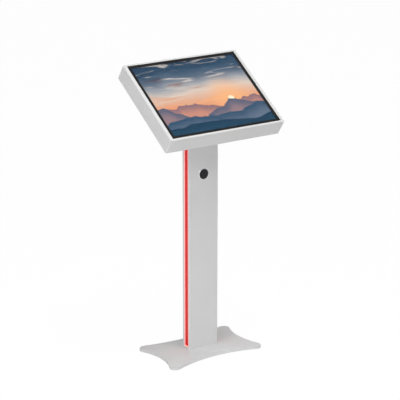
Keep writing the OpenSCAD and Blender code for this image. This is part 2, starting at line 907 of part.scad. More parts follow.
module head_housing() color(paint) {
    fold_h = head_sheet;
    at_head() {
        difference() {
            hull() for (x = [-1, 1], y = [-1, 1])
                translate([x * (head_w / 2 - corner_r), y * (head_h / 2 - corner_r), 0])
                    head_post();
            translate([0, 0, z_back - over]) linear_extrude(head_t + over - head_sheet)
                round_rect(cavity_w, cavity_h, cavity_r);
            translate([-window_w / 2, -window_h / 2, -head_sheet - over])
                cube([window_w, window_h, head_sheet + 2 * over]);
        }
        translate([0, 0, z_cover]) difference() {
            linear_extrude(fold_h) difference() {
                round_rect(cavity_w + 1, cavity_h + 1, cavity_r + 0.5);
                round_rect(cavity_w - 2 * fold_w, cavity_h - 2 * fold_w, 2);
            }
            at_rear_screws() translate([0, 0, -over])
                cylinder(r = m4_r + close_fit, h = fold_h + 2 * over, $fn = 32);
        }
    }
}

// The rear cover's twelve screws, in the middle of the fold they go into
module at_rear_screws() {
    x = (cavity_w - fold_w) / 2;
    y = (cavity_h - fold_w) / 2;
    from_corner = 8;
    by_hinge = hinge_x - hinge_l / 2 - m4_head_r - 2;
    for (i = [-1, 1], s = [-1, 1]) {
        translate([i * (x - from_corner), s * y, 0]) children();
        translate([i * by_hinge, s * y, 0]) children();
    }
    for (i = [-1, 1], s = [-1, 1]) translate([s * x, i * y / 2, 0]) children();
}

// A flat frame, outer and inner size given, its top at z
module flat_frame(w, h, inner_w, inner_h, z, t) {
    translate([0, 0, z - t]) linear_extrude(t) difference() {
        square([w, h], center = true);
        square([inner_w, inner_h], center = true);
    }
}

module glass_tape() color(black) {
        inset = 1;
    at_head() flat_frame(glass_w, glass_h, window_w + 2 * inset, window_h + 2 * inset,
                         z_tape, tape_t);
}

module touch_glass() color([0.1, 0.12, 0.15, 0.5]) {
    at_head() translate([0, 0, z_gasket]) linear_extrude(glass_t) round_rect(glass_w, glass_h, 2);
}

module panel_gasket() color(black) {
    at_head() flat_frame(window_w, window_h, cell_w + 2 * gap, cell_h + 2 * gap, z_gasket, gasket_t);
}

module display_cell() color("#1a4a66") {
    at_head() translate([0, 0, z_panel - cell_t - gap]) linear_extrude(cell_t)
        square([cell_w, cell_h], center = true);
}

module display_chassis() color(zinc) {
    seat = cell_t + gap;
    rim = 1.2;
    back_h = panel_t - 3;
    at_head() {
        difference() {
            translate([0, 0, z_panel - back_h]) linear_extrude(back_h)
                square([window_w, window_h], center = true);
            translate([0, 0, z_panel - seat]) linear_extrude(seat + over)
                square([cell_w + 2 * gap, cell_h + 2 * gap], center = true);
            for (i = [-4 : 4])
                translate([i * 36, 60, z_panel - back_h - over]) linear_extrude(over + rim)
                    slot(26, 90);
        }
        // Raised seats for the rails, and the cover of the timing board
        for (s = [-1, 1])
            translate([s * rail_x, 0, z_rail]) linear_extrude(panel_t - back_h + rim)
                square([rail_w, window_h - 30], center = true);
        translate([0, timing_y, z_rail]) linear_extrude(panel_t - back_h + rim)
            round_rect(timing_w, timing_h, 4);
    }
}

// A folded channel open towards the panel, its ends turned up against the walls
module panel_rail(side) color(zinc) {
    length = cavity_h;
    at_head() translate([side * rail_x, 0, z_plate]) difference() {
        linear_extrude(rail_h) square([rail_w, length], center = true);
        translate([0, 0, rail_t]) linear_extrude(rail_h)
            square([rail_w - 2 * rail_t, length - 2 * rail_t], center = true);
        at_rail_studs() rotate([90, 0, 0])
            cylinder(r = m4_r + close_fit, h = 4 * rail_t, center = true, $fn = 32);
        at_plate_screws() translate([0, 0, -over])
            cylinder(r = m4_r + close_fit, h = 4 * rail_t, $fn = 32);
        // Lightening slots along the web
        for (i = [-2 : 2])
            translate([0, i * 60, -over]) linear_extrude(rail_t + 2 * over)
                rotate(90) slot(40, 10);
    }
}

// The studs that hold a rail's two turned-up ends, at the walls
module at_rail_studs() {
    for (y = [-1, 1]) translate([0, y * cavity_h / 2, rail_h / 2]) children();
}

// Screws through a rail's web that hold the equipment plate
module at_plate_screws() {
    for (y = [-1, 1]) translate([0, y * (plate_h / 2 - 12), 0]) children();
}

module rail_studs() color(steel) {
    length = rail_t + m4_nut_h + tip_past;
    at_head() for (x = [-1, 1], y = [-1, 1])
        translate([x * rail_x, y * (cavity_h - length) / 2, z_plate + rail_h / 2])
            rotate([90, 0, 0]) cylinder(r = m4_r, h = length, center = true, $fn = 32);
}

module rail_nuts() color(steel) {
    at_head() for (x = [-1, 1], y = [-1, 1])
        translate([x * rail_x, y * (cavity_h / 2 - rail_t), z_plate + rail_h / 2])
            rotate([y * 90, 0, 0]) hex_nut(m4_nut_r, m4_nut_h, m4_r + close_fit);
}

module equipment_plate() color(zinc) {
    at_head() translate([0, 0, z_gear]) difference() {
        linear_extrude(plate_t) difference() {
            round_rect(plate_w, plate_h, 4);
            translate([0, plate_vent_y]) {
                for (s = [-1, 1]) translate([s * plate_vent_x, 0])
                    slot_field(plate_vent_w, plate_vent_h);
                round_rect(plate_pass_w, plate_pass_h, 6);
            }
        }
        at_plate_ends() translate([0, 0, -over])
            cylinder(r = m4_r + close_fit, h = plate_t + 2 * over, $fn = 32);
    }
}

module at_plate_ends() {
    for (x = [-1, 1]) translate([x * rail_x, 0, 0]) at_plate_screws() children();
}

module plate_screws() color(steel) {
    at_head() translate([0, 0, z_gear]) at_plate_ends()
        pan_screw(m4_r, 8, m4_head_r, m4_head_h);
}

// Equipment on the plate

module mini_computer() color("#3a3d40") {
    socket = [14, 8, 8];
    socket_pitch = 22;
    at_head() translate([pc_x + pc_l / 2, gear_y - pc_w / 2, z_gear - pc_t]) difference() {
        linear_extrude(pc_t) round_rect(pc_l, pc_w, 8);
        translate([-10, -8, -over]) linear_extrude(over + vent_deep) slot_field(80, 46);
        // Sockets along the edge that faces down the slope
        for (i = [-2 : 2])
            translate([i * socket_pitch - socket.x / 2, -pc_w / 2 - over, (pc_t - socket.z) / 2])
                cube([socket.x, over + socket.y, socket.z]);
        translate([button_x - pc_x - pc_l / 2, button_y - gear_y + pc_w / 2, -over])
            cylinder(r = button_r + gap, h = over + button_depth, $fn = 48);
    }
}

module computer_button() color("#c8cbcf") {
    proud = button_travel + least_proud;
    at_head() translate([button_x, button_y, z_gear - pc_t - proud])
        cylinder(r = button_r, h = proud + button_depth - button_travel - gap, $fn = 48);
}

module power_supply() color(zinc) {
    pitch = 10.5;
    terminals = floor((psu_l - 40) / pitch);
    at_head() translate([psu_x, gear_y - psu_w, z_gear - psu_t]) {
        difference() {
            cube([psu_l, psu_w, psu_t]);
            translate([-over, -over, -over])
                cube([psu_l + 2 * over, psu_block_d + over, psu_block_h + over]);
            translate([psu_l / 2, (psu_w + psu_block_d) / 2, -over])
                linear_extrude(over + vent_deep) slot_field(psu_l - 40, psu_w - 40);
        }
        // Terminal block with its barriers
        difference() {
            translate([8, 1, 3]) cube([psu_l - 40, psu_block_d - 1, psu_block_h - 3]);
            for (i = [0 : terminals - 1])
                translate([10 + i * pitch, 0, 2]) cube([pitch - 2, psu_block_d - 3, 5]);
        }
    }
}

// A circuit board, centred, its parts on the side that faces the rear cover:
// a processor, a memory chip, two connectors and three capacitors
module circuit_board(w, h) {
    edge = 3;
    linear_extrude(board_t) difference() {
        round_rect(w, h, 2);
        at_board_corners(w, h) circle(r = m3_r + close_fit, $fn = 24);
    }
    board_part([-w * 0.16, -h * 0.1], [h * 0.3, h * 0.3, 1.4]);
    board_part([w * 0.2, h * 0.1], [h * 0.2, h * 0.2, 1]);
    board_part([-w / 2 + 10, h / 2 - 6 - edge], [w * 0.35, 6, 5]);
    board_part([w * 0.2 - 10, -h / 2 + edge], [w * 0.3, 5, 4]);
    for (i = [0 : 2])
        translate([-w * 0.36 + i * 8, -h * 0.24, -6]) cylinder(r = 3, h = 6 + merge, $fn = 24);
}

module board_part(place, size) {
    translate([place.x, place.y, -size.z]) cube([size.x, size.y, size.z + merge]);
}

module at_board_corners(w, h) {
    for (x = [-1, 1], y = [-1, 1]) translate([x * (w / 2 - 4), y * (h / 2 - 4)]) children();
}

module display_board() color(board_green) {
    at_head() translate([display_board_x, board_y, z_gear - board_gap - board_t])
        circuit_board(display_board_w, display_board_h);
}

module touch_board() color(board_green) {
    at_head() translate([touch_board_x, board_y, z_gear - board_gap - board_t])
        circuit_board(touch_board_w, touch_board_h);
}

module board_standoffs() color("#b99a4a") {
    at_head() translate([0, board_y, z_gear - board_gap]) {
        translate([display_board_x, 0, 0]) at_board_corners(display_board_w, display_board_h)
            cylinder(r = standoff_r, h = board_gap, $fn = 6);
        translate([touch_board_x, 0, 0]) at_board_corners(touch_board_w, touch_board_h)
            cylinder(r = standoff_r, h = board_gap, $fn = 6);
    }
}

// Rear cover and what it carries

module speaker(side) color(black) {
    at_head() translate([side * speaker_x, speaker_y, z_cover]) difference() {
        linear_extrude(speaker_t) round_rect(speaker_w, speaker_l, 4);
        for (y = [-1, 1]) translate([0, y * speaker_l / 4, 0]) rotate_extrude($fn = 48) polygon([
            [0, -over], [speaker_cone_r, -over], [speaker_cone_r, 1.5],
            [speaker_cone_r * 0.85, 2.5], [5, 8], [0, 6]
        ]);
    }
}

module at_fan() {
    at_head() translate([fan_x, -fan_y, z_cover]) children();
}

module at_fan_screws() {
    for (x = [-1, 1], y = [-1, 1]) translate([x * fan_hole, y * fan_hole]) children();
}

fan_base = 2.5;
fan_gap = 0.4;

module fan_frame() color(black) {
    arm_w = 3;
    at_fan() {
        linear_extrude(fan_t) difference() {
            round_rect(fan_size, fan_size, 4);
            circle(r = fan_bore_r, $fn = 96);
            at_fan_screws() circle(r = m4_r + close_fit, $fn = 32);
        }
        linear_extrude(fan_base) difference() {
            union() {
                circle(r = fan_hub_r, $fn = 64);
                for (a = [0 : 120 : 240]) rotate(a + 30) translate([fan_size / 4, 0])
                    square([fan_size / 2 - over, arm_w], center = true);
            }
            circle(r = fan_shaft_r + running, $fn = 32);
        }
    }
}

module fan_rotor() color("#303236") {
    blades = 7;
    blade_t = 1.4;
    blade_twist = -38;
    low = fan_base + fan_gap;
    blade_low = low + 0.6;
    root_r = fan_hub_r - 0.6;
    tip_r = fan_bore_r - 2 * fan_gap;
    at_fan() {
        translate([0, 0, fan_gap]) cylinder(r = fan_shaft_r, h = low, $fn = 32);
        translate([0, 0, low]) cylinder(r = fan_hub_r, h = fan_t - low - fan_gap, $fn = 64);
        for (i = [0 : blades - 1]) rotate(i * 360 / blades) translate([0, 0, blade_low])
            linear_extrude(fan_t - blade_low - 2 * fan_gap, twist = blade_twist, slices = 6)
                translate([root_r, -blade_t / 2]) square([tip_r - root_r, blade_t]);
    }
}

module fan_screws() color(steel) {
    at_fan() translate([0, 0, -cover_t]) at_fan_screws()
        pan_screw(m4_r, cover_t + fan_t - tip_past, m4_head_r, m4_head_h);
}

module rear_cover() color(paint) {
    at_head() translate([0, 0, z_back]) linear_extrude(cover_t) difference() {
        round_rect(cover_w, cover_h, cover_r);
        translate([0, (hatch_top + hatch_low) / 2]) square([hatch_w, hatch_h], center = true);
        at_rear_screws() circle(r = m4_r + close_fit, $fn = 32);
        translate([0, neck_y]) {
            at_neck_bolts() circle(r = m6_r + close_fit, $fn = 40);
            circle(r = cable_r, $fn = 64);
        }
        translate([fan_x, -fan_y]) {
            round_grille(fan_bore_r - 2);
            at_fan_screws() circle(r = m4_r + close_fit, $fn = 32);
        }
        translate([-fan_x, -fan_y]) slot_field(fan_size + 10, fan_size - 8);
        for (s = [-1, 1]) translate([s * speaker_x, speaker_y])
            slot_field(speaker_w - 12, speaker_l - 14);
    }
}

module rear_cover_screws() color(steel) {
    at_head() translate([0, 0, z_back]) at_rear_screws()
        pan_screw(m4_r, cover_t + head_sheet + tip_past, m4_head_r, m4_head_h);
}

// Strips welded behind the hatch opening's two sides for the hatch to close on
module hatch_ledges() color(inner_paint) {
    h = hatch_h - 12;
    at_head() for (s = [-1, 1])
        translate([s * (hatch_w / 2 - ledge_in + ledge_w / 2), (hatch_top + hatch_low) / 2,
                   z_cover + ledge_t / 2])
            cube([ledge_w, h, ledge_t], center = true);
}

// Plate that spreads the column's load over the rear cover
module neck_plate() color(zinc) {
    at_head() translate([0, neck_y, z_cover]) linear_extrude(neck_plate_t) difference() {
        round_rect(neck_plate_w, neck_plate_h, 8);
        at_neck_bolts() circle(r = m6_r + close_fit, $fn = 40);
        circle(r = cable_r, $fn = 64);
    }
}

// Service hatch

module service_hatch() color(paint) {
    rib_w = panel_w - 2 * rib_inset;
    rib_d = panel_h - 2 * rib_inset;
    notch = cam_w / 2 + 2;
    at_head() translate([0, (hatch_top + hatch_low) / 2, z_back]) {
        linear_extrude(panel_skin) difference() {
            round_rect(panel_w, panel_h, 2);
            translate([0, lock_y - (hatch_top + hatch_low) / 2])
                circle(r = lock_r + close_fit, $fn = 48);
        }
        // Stiffening fold, left open where the cam swings
        translate([0, 0, panel_skin - merge]) linear_extrude(rib_h) difference() {
            round_rect(rib_w, rib_d, 3);
            round_rect(rib_w - 2 * rib_t, rib_d - 2 * rib_t, 3 - rib_t);
            translate([-notch, -panel_h / 2]) square([notch + cam_reach + 2, 2 * rib_inset]);
        }
    }
}

module at_hinges() {
    at_head() for (x = [-1, 1]) translate([x * hinge_x, pin_y, 0]) children();
}

// A hinge leaf without its knuckles, on the side of the pin that dir says
module hinge_leaf(dir) {
    translate([-hinge_l / 2, dir > 0 ? 0 : -leaf_w, z_back - leaf_t])
        cube([hinge_l, leaf_w, leaf_t]);
}

// A round length of hinge along X, on the pin's axis
module hinge_round(x, length, r) {
    translate([x, 0, pin_z]) rotate([0, 90, 0]) cylinder(r = r, h = length, center = true, $fn = 48);
}

module pin_hole() {
    hinge_round(0, 2 * hinge_l, pin_r + running);
}

module hinge_fixed_leaves() color(steel) {
    at_hinges() difference() {
        union() {
            difference() {
                hinge_leaf(1);
                translate([0, 0, z_back - leaf_t])
                    cube([knuckle_l + 2 * gap, 2 * leaf_notch, 4 * leaf_t], center = true);
            }
            for (s = [-1, 1])
                hinge_round(s * (hinge_l - knuckle_l) / 2, knuckle_l, knuckle_r);
        }
        pin_hole();
        hinge_rivet_holes(1);
    }
}

module hinge_door_leaves() color(steel) {
    end_l = hinge_l - knuckle_l;
    at_hinges() difference() {
        union() {
            difference() {
                hinge_leaf(-1);
                for (s = [-1, 1])
                    translate([s * (knuckle_l / 2 + end_l / 2), 0, z_back - leaf_t])
                        cube([end_l, 2 * leaf_notch, 4 * leaf_t], center = true);
            }
            hinge_round(0, knuckle_l, knuckle_r);
        }
        pin_hole();
        hinge_rivet_holes(-1);
    }
}

module hinge_rivet_holes(dir) {
    for (x = [-1, 1]) translate([x * hinge_l / 4, dir * leaf_w * 0.68, z_back - leaf_t - over])
        cylinder(r = rivet_r, h = leaf_t + 2 * over, $fn = 24);
}

module hinge_pins() color(steel) {
    at_hinges() hinge_round(0, hinge_l, pin_r);
}

module at_lock() {
    at_head() translate([0, lock_y, z_back]) children();
}

module lock_barrel() color("#b9bcc0") {
    at_lock() difference() {
        union() {
            cylinder(r = lock_r, h = lock_l + lock_flange, $fn = 64);
            translate([0, 0, -lock_flange])
                cylinder(r = lock_r + lock_flange, h = lock_flange, $fn = 64);
        }
        translate([0, 0, -lock_flange - over])
            cylinder(r = plug_r + running, h = lock_l + 2 * (lock_flange + over), $fn = 48);
    }
}

module lock_nut() color(steel) {
    at_lock() translate([0, 0, panel_skin]) hex_nut(lock_nut_r, lock_nut_h, lock_r + close_fit);
}

// Plug and cranked cam, resting unlocked with the cam along the hatch
module lock_cam() color(steel) {
    hub_z = lock_l + lock_flange + gap;
    tongue_z = cover_t + 1;
    plug_out = lock_flange - 0.4;
    keyway = [6, 1, 2];
    at_lock() {
        difference() {
            translate([0, 0, -plug_out])
                cylinder(r = plug_r, h = hub_z + cam_t + plug_out, $fn = 48);
            translate([0, 0, -plug_out]) cube(keyway, center = true);
        }
        translate([0, 0, hub_z]) cylinder(r = cam_w / 2 + 2, h = cam_t, $fn = 48);
        translate([0, -cam_w / 2, hub_z]) cube([cam_leg + cam_t, cam_w, cam_t]);
        translate([cam_leg, -cam_w / 2, tongue_z]) cube([cam_t, cam_w, hub_z + cam_t - tongue_z]);
        translate([cam_leg, -cam_w / 2, tongue_z]) cube([cam_reach - cam_leg, cam_w, cam_t]);
    }
}

base_plate();
floor_mat();
foot_flange();
foot_bolts();
column_shell();
column_rear_cover();
column_cover_screws();
top_flange();
light_tray(-1);  // light_tray_left
light_tray(1);  // light_tray_right
light_lens(-1);  // light_lens_left
light_lens(1);  // light_lens_right
led_bar(-1);  // led_bar_left
led_bar(1);  // led_bar_right
led_driver();
badge_ring();
badge_disc();
power_inlet();
inlet_switch();
inlet_screws();
mains_lead();
cable_grommet();
head_housing();
glass_tape();
touch_glass();
panel_gasket();
display_cell();
display_chassis();
panel_rail(-1);  // panel_rail_left
panel_rail(1);  // panel_rail_right
rail_studs();
rail_nuts();
equipment_plate();
plate_screws();
mini_computer();
computer_button();
power_supply();
display_board();
touch_board();
board_standoffs();
speaker(-1);  // speaker_left
speaker(1);  // speaker_right
fan_frame();
fan_rotor();
fan_screws();
rear_cover();
rear_cover_screws();
hatch_ledges();
neck_plate();
neck_bolts();
neck_nuts();
service_hatch();
hinge_fixed_leaves();
hinge_door_leaves();
hinge_pins();
lock_barrel();
lock_nut();
lock_cam();
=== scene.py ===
"""Looks of an information kiosk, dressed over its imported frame.

A tilted touch screen in a folded-steel head stands on a slim column with a red light strip down each
side, on a four-lobed floor plate. Lengths are in metres and angles in radians, in the frame of the part:
the floor is z = 0, and the user stands at -Y.
"""

import json
import logging
import math
from collections.abc import Callable, Iterable, Sequence
from dataclasses import dataclass, field
from enum import Enum
from functools import lru_cache
from itertools import product
from typing import Any

import bmesh
import bpy
from mathutils import Matrix, Vector

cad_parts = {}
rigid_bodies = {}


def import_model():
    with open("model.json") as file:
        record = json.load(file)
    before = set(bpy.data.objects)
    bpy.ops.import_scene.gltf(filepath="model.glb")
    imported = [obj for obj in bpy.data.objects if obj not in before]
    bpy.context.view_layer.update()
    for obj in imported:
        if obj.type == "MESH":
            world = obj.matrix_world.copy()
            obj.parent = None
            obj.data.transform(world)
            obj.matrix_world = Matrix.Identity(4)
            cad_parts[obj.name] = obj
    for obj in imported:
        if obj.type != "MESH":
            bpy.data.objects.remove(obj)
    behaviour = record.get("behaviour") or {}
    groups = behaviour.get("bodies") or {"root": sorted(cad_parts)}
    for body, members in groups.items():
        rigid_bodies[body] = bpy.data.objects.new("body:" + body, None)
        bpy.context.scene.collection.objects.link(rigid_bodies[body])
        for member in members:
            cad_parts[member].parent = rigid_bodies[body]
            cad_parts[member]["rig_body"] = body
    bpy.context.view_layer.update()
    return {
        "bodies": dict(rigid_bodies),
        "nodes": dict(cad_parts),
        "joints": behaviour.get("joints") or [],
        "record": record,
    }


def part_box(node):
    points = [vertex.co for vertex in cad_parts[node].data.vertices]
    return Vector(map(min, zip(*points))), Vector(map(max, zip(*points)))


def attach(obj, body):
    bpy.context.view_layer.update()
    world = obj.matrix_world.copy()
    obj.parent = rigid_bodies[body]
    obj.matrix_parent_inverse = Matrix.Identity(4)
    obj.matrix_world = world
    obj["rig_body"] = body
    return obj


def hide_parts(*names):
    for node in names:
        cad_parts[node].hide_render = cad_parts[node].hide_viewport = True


LOG = logging.getLogger("kiosk")
MM = 0.001
Colour = tuple[float, float, float]
Triple = tuple[float, float, float]
Plain = tuple[tuple[Any, ...], ...]
Shape = bmesh.types.BMesh
Piece = bpy.types.Object
Material = bpy.types.Material
Tree = bpy.types.NodeTree
Node = bpy.types.Node
Socket = bpy.types.NodeSocket


def paint(red: int, green: int, blue: int) -> Colour:
    """A colour of a paint chart, 0 to 255 for each part, as the linear light that the shaders take."""
    parts = [value / 255 for value in (red, green, blue)]
    return tuple(p / 12.92 if p <= 0.04045 else ((p + 0.055) / 1.055) ** 2.4 for p in parts)


def rgba(colour: Colour) -> tuple[float, float, float, float]:
    """The colour with a full alpha."""
    return (*colour, 1.0)


# Range that most of a noise lies in
NOISE_SPAN = (0.3, 0.7)
# Scale of a grain's tone, as a share of its relief's
COARSE = 0.11
# How dark the grain's tone draws a colour, and how much duller dust makes it
GRAIN_SHADE = 0.35
DUST_ROUGHNESS = 0.3
DUST = paint(178, 172, 163)
COAT_ROUGHNESS = 0.08
WHITE = rgba((1.0, 1.0, 1.0))
# Half the width and height of the picture
PICTURE_HALF = (244 * MM, 186 * MM)
# Face attribute of rounded edges, and the distance under which points are one
EDGE_MARK = "edge"
WELD = 2e-6
# Angles from which an edge is rounded and under which it is shaded smooth
SHARP_ABOVE = math.radians(28)
SMOOTH_BELOW = math.radians(50)
# A quarter turn from Z to -Y, and the way to the back
QUARTER = Matrix.Rotation(math.radians(90), 4, "X")
REARWARD = Vector((0, 1, 0))
SIDES = ("left", "right")


def corners(points: Iterable[Vector]) -> tuple[Vector, Vector]:
    """The lowest and the highest corner of the box round some points."""
    columns = list(zip(*points))
    return Vector([min(column) for column in columns]), Vector([max(column) for column in columns])


class Slot(Enum):
    """The finishes of the part, under the names of its record."""

    POWDER_PAINT = "powder_paint"
    FLOOR_RUBBER = "floor_rubber"
    ZINC_STEEL = "zinc_steel"
    FASTENER_STEEL = "fastener_steel"
    BARREL_CHROME = "barrel_chrome"
    TRAY_WHITE = "tray_white"
    LENS_RED = "lens_red"
    CIRCUIT_GREEN = "circuit_green"
    DRIVER_SHELL = "driver_shell"
    BADGE_RIM = "badge_rim"
    BADGE_BLACK = "badge_black"
    BLACK_PLASTIC = "black_plastic"
    ROCKER_RED = "rocker_red"
    CABLE_BLACK = "cable_black"
    BLACK_FOAM = "black_foam"
    SCREEN_GLASS = "screen_glass"
    SCREEN_PICTURE = "screen_picture"
    BUTTON_GREY = "button_grey"
    STANDOFF_BRASS = "standoff_brass"
    FAN_GREY = "fan_grey"


class Grain(Enum):
    """The fine relief that a finish carries."""

    PEEL = "orange_peel"
    STIPPLE = "moulded_stipple"
    ROLLED = "rolled_lines"
    SPANGLE = "zinc_spangle"
    CELLS = "foam_cells"
    TURNED = "turned_rings"
    TRACKS = "board_tracks"


@dataclass(frozen=True)
class HeadSpace:
    """The sloping frame of the head: X along it, Y up the slope, Z out of the screen.

    Args:
        origin: Middle of the head's front face.
        tilt: Slope of the screen from level.
    """

    origin: Triple = (0.0, -28 * MM, 1097 * MM)
    tilt: float = math.radians(34)

    def matrix(self) -> Matrix:
        """Turns a point of the head into one of the part."""
        return Matrix.Translation(self.origin) @ Matrix.Rotation(self.tilt, 4, "X")

    def outward(self) -> Vector:
        """The way out of the screen."""
        return self.matrix().to_3x3() @ Vector((0, 0, 1))

    def box(self, node: Piece) -> tuple[Vector, Vector]:
        """Measures a node along the head.

        Args:
            node: The node.

        Returns:
            Its lowest and its highest corner.
        """
        back = self.matrix().inverted()
        return corners(back @ v.co for v in node.data.vertices)


HEAD = HeadSpace()


# Shader work


class Wiring:
    """Adds nodes to one node tree and joins them.

    Args:
        tree: The tree of a material, of the world or of a group.
    """

    def __init__(self, tree: Tree) -> None:
        """Keeps the tree."""
        self.tree = tree

    def feed(self, socket: Socket, value: Any) -> None:
        """Feeds one input.

        Args:
            socket: The input.
            value: A socket to link to it, or else the value that it takes.
        """
        if isinstance(value, Socket):
            self.tree.links.new(value, socket)
        else:
            socket.default_value = value

    def fill(self, node: Node, inputs: dict[str | int, Any]) -> None:
        """Feeds inputs of a node, by name or number."""
        for name, value in inputs.items():
            self.feed(node.inputs[name], value)

    def add(self, kind: str, inputs: dict[str | int, Any] | None = None, **settings: Any) -> Node:
        """Adds a shader node.

        Args:
            kind: The node's type without its ShaderNode prefix.
            inputs: Value or socket for each input, by name or number.
            settings: The node's own settings.

        Returns:
            The node.
        """
        node = self.tree.nodes.new("ShaderNode" + kind)
        for name, value in settings.items():
            setattr(node, name, value)
        self.fill(node, inputs or {})
        return node

    def math(self, operation: str, *values: Any, clamp: bool = False) -> Socket:
        """The outcome of one sum on up to three values."""
        node = self.add("Math", dict(enumerate(values)), operation=operation, use_clamp=clamp)
        return node.outputs[0]

    def remap(self, value: Any, low: float, high: float, to_low: Any = 0.0, to_high: Any = 1.0) -> Socket:
        """The value moved from one range to another with soft ends."""
        inputs = {"Value": value, "From Min": low, "From Max": high, "To Min": to_low, "To Max": to_high}
        return self.add("MapRange", inputs, interpolation_type="SMOOTHSTEP").outputs[0]

    def mix(self, share: Any, first: Any, second: Any, mode: str = "MIX") -> Socket:
        """Two colours mixed by a share from 0, the first, to 1, the second."""
        node = self.add("Mix", {0: share, 6: first, 7: second}, data_type="RGBA", blend_type=mode)
        return node.outputs[2]

    def dimmed(self, colour: Any, level: Any) -> Socket:
        """The colour times a level."""
        grey = self.add("CombineColor", {0: level, 1: level, 2: level}).outputs[0]
        return self.mix(1.0, colour, grey, "MULTIPLY")

    def scaled(self, vector: Any, factors: Triple) -> Socket:
        """The vector, each part of it times a factor."""
        return self.add("VectorMath", {0: vector, 1: factors}, operation="MULTIPLY").outputs[0]

    def noise(self, vector: Any, scale: Any, detail: float = 2.0, distortion: float = 0.0) -> Socket:
        """A cloudy value from about 0.25 to 0.75."""
        inputs = {"Vector": vector, "Scale": scale, "Detail": detail, "Distortion": distortion}
        return self.add("TexNoise", inputs).outputs[0]

    def relief(self, shader: Node, height: Any, depth: float, strength: float = 1.0) -> None:
        """Lays a bump of that height and depth on a shader."""
        bump = {"Height": height, "Distance": depth, "Strength": strength}
        self.feed(shader.inputs["Normal"], self.add("Bump", bump).outputs[0])

    def place(self, centre: Triple = (0, 0, 0), turn: Triple = (0, 0, 0), size: Triple = (1, 1, 1)) -> Socket:
        """Object coordinates in a frame of their own.

        Args:
            centre: The frame's middle.
            turn: Its angles.
            size: Its unit along each axis.

        Returns:
            The place in that frame.
        """
        spot = self.add("TexCoord").outputs["Object"]
        inputs = {"Vector": spot, "Location": centre, "Rotation": turn, "Scale": size}
        return self.add("Mapping", inputs, vector_type="TEXTURE").outputs[0]

    def group(self, tree: Tree, **inputs: Any) -> Node:
        """Places a node group.

        Args:
            tree: The group's tree.
            inputs: Value or socket for each input.

        Returns:
            The node.
        """
        node = self.add("Group", node_tree=tree)
        self.fill(node, inputs)
        return node


def new_group(name: str, inputs: dict[str, str], outputs: Iterable[str]) -> tuple[Wiring, Any, Any]:
    """Starts a node group.

    Args:
        name: The group's name.
        inputs: Type of each input, as Float, Vector or Color, by name.
        outputs: Names of the outputs. One named Colour is a colour, the others are numbers.

    Returns:
        The wiring inside it, the outputs of its input node, and the inputs of its output node.
    """
    tree = bpy.data.node_groups.new(name, "ShaderNodeTree")
    for label, kind in inputs.items():
        tree.interface.new_socket(label, in_out="INPUT", socket_type="NodeSocket" + kind)
    for label in outputs:
        kind = "Color" if label == "Colour" else "Float"
        tree.interface.new_socket(label, in_out="OUTPUT", socket_type="NodeSocket" + kind)
    source = tree.nodes.new("NodeGroupInput")
    target = tree.nodes.new("NodeGroupOutput")
    return Wiring(tree), source.outputs, target.inputs


@lru_cache(maxsize=None)
def grain_group(grain: Grain) -> Tree:
    """The node group of a grain, for a Vector and a Scale.

    Args:
        grain: Kind of fine relief.

    Returns:
        The group's tree. Its Height and its Tone go from 0 to 1.
    """
    w, given, out = new_group(grain.value, {"Vector": "Vector", "Scale": "Float"}, ("Height", "Tone"))
    at, scale = given["Vector"], given["Scale"]
    coarse = w.math("MULTIPLY", scale, COARSE)
    if grain is Grain.PEEL:
        height, tone = w.noise(at, scale, 1.2), w.noise(at, coarse, 3)
    elif grain is Grain.STIPPLE:
        height, tone = w.noise(at, scale, 4), w.noise(at, coarse, 2)
    elif grain is Grain.ROLLED:
        along = w.scaled(at, (0.03, 1, 0.16))
        height, tone = w.noise(along, scale, 5), w.remap(w.noise(along, coarse, 6), *NOISE_SPAN)
    elif grain is Grain.TURNED:
        radius = w.add("VectorMath", {0: w.scaled(at, (1, 1, 0))}, operation="LENGTH").outputs["Value"]
        rings = {"W": radius, "Scale": scale, "Detail": 4}
        height = w.add("TexNoise", rings, noise_dimensions="1D").outputs[0]
        tone = w.noise(at, coarse, 3)
    elif grain is Grain.TRACKS:
        lay = {"Vector": at, "Scale": scale, "Mortar Size": 0.05, "Brick Width": 0.9, "Row Height": 0.23}
        height = tone = w.add("TexBrick", lay, offset=0.37, squash=1.7, squash_frequency=3).outputs["Fac"]
    else:
        cell = w.add("TexVoronoi", {"Vector": at, "Scale": scale, "Randomness": 1.0}).outputs
        if grain is Grain.SPANGLE:
            tone = w.add("SeparateColor", {0: cell["Color"]}).outputs[0]
            height = w.noise(at, w.math("MULTIPLY", scale, 9), 3)
        else:
            height = tone = w.remap(cell["Distance"], 0.1, 0.6)
    w.feed(out["Height"], height)
    w.feed(out["Tone"], tone)
    return w.tree


@lru_cache(maxsize=None)
def uneven_group() -> Tree:
    """Lets a colour wander a little darker and lighter over a surface.

    Returns:
        The group's tree.
    """
    needs = {"Vector": "Vector", "Base": "Color", "Scale": "Float", "Spread": "Float"}
    w, given, out = new_group("uneven_tone", needs, ("Colour",))
    cloud = w.remap(w.noise(given["Vector"], given["Scale"], 4, 0.4), *NOISE_SPAN, -1.0, 1.0)
    level = w.math("MULTIPLY_ADD", cloud, given["Spread"], 1.0)
    w.feed(out["Colour"], w.dimmed(given["Base"], level))
    return w.tree


@lru_cache(maxsize=None)
def edge_group() -> Tree:
    """A mask of the rubbed spots along rounded edges, drawn lighter as wear and as a painted highlight, from
    the edge attribute of a dressed piece.

    Returns:
        The group's tree.
    """
    w, given, out = new_group("edge_wear_and_highlight", {"Vector": "Vector", "Share": "Float"}, ("Mask",))
    edge = w.add("Attribute", attribute_name=EDGE_MARK).outputs["Fac"]
    patch = w.remap(w.noise(given["Vector"], 60.0, 5, 0.3), 0.4, 0.62)
    w.feed(out["Mask"], w.math("MULTIPLY", w.math("MULTIPLY", edge, patch), given["Share"], clamp=True))
    return w.tree


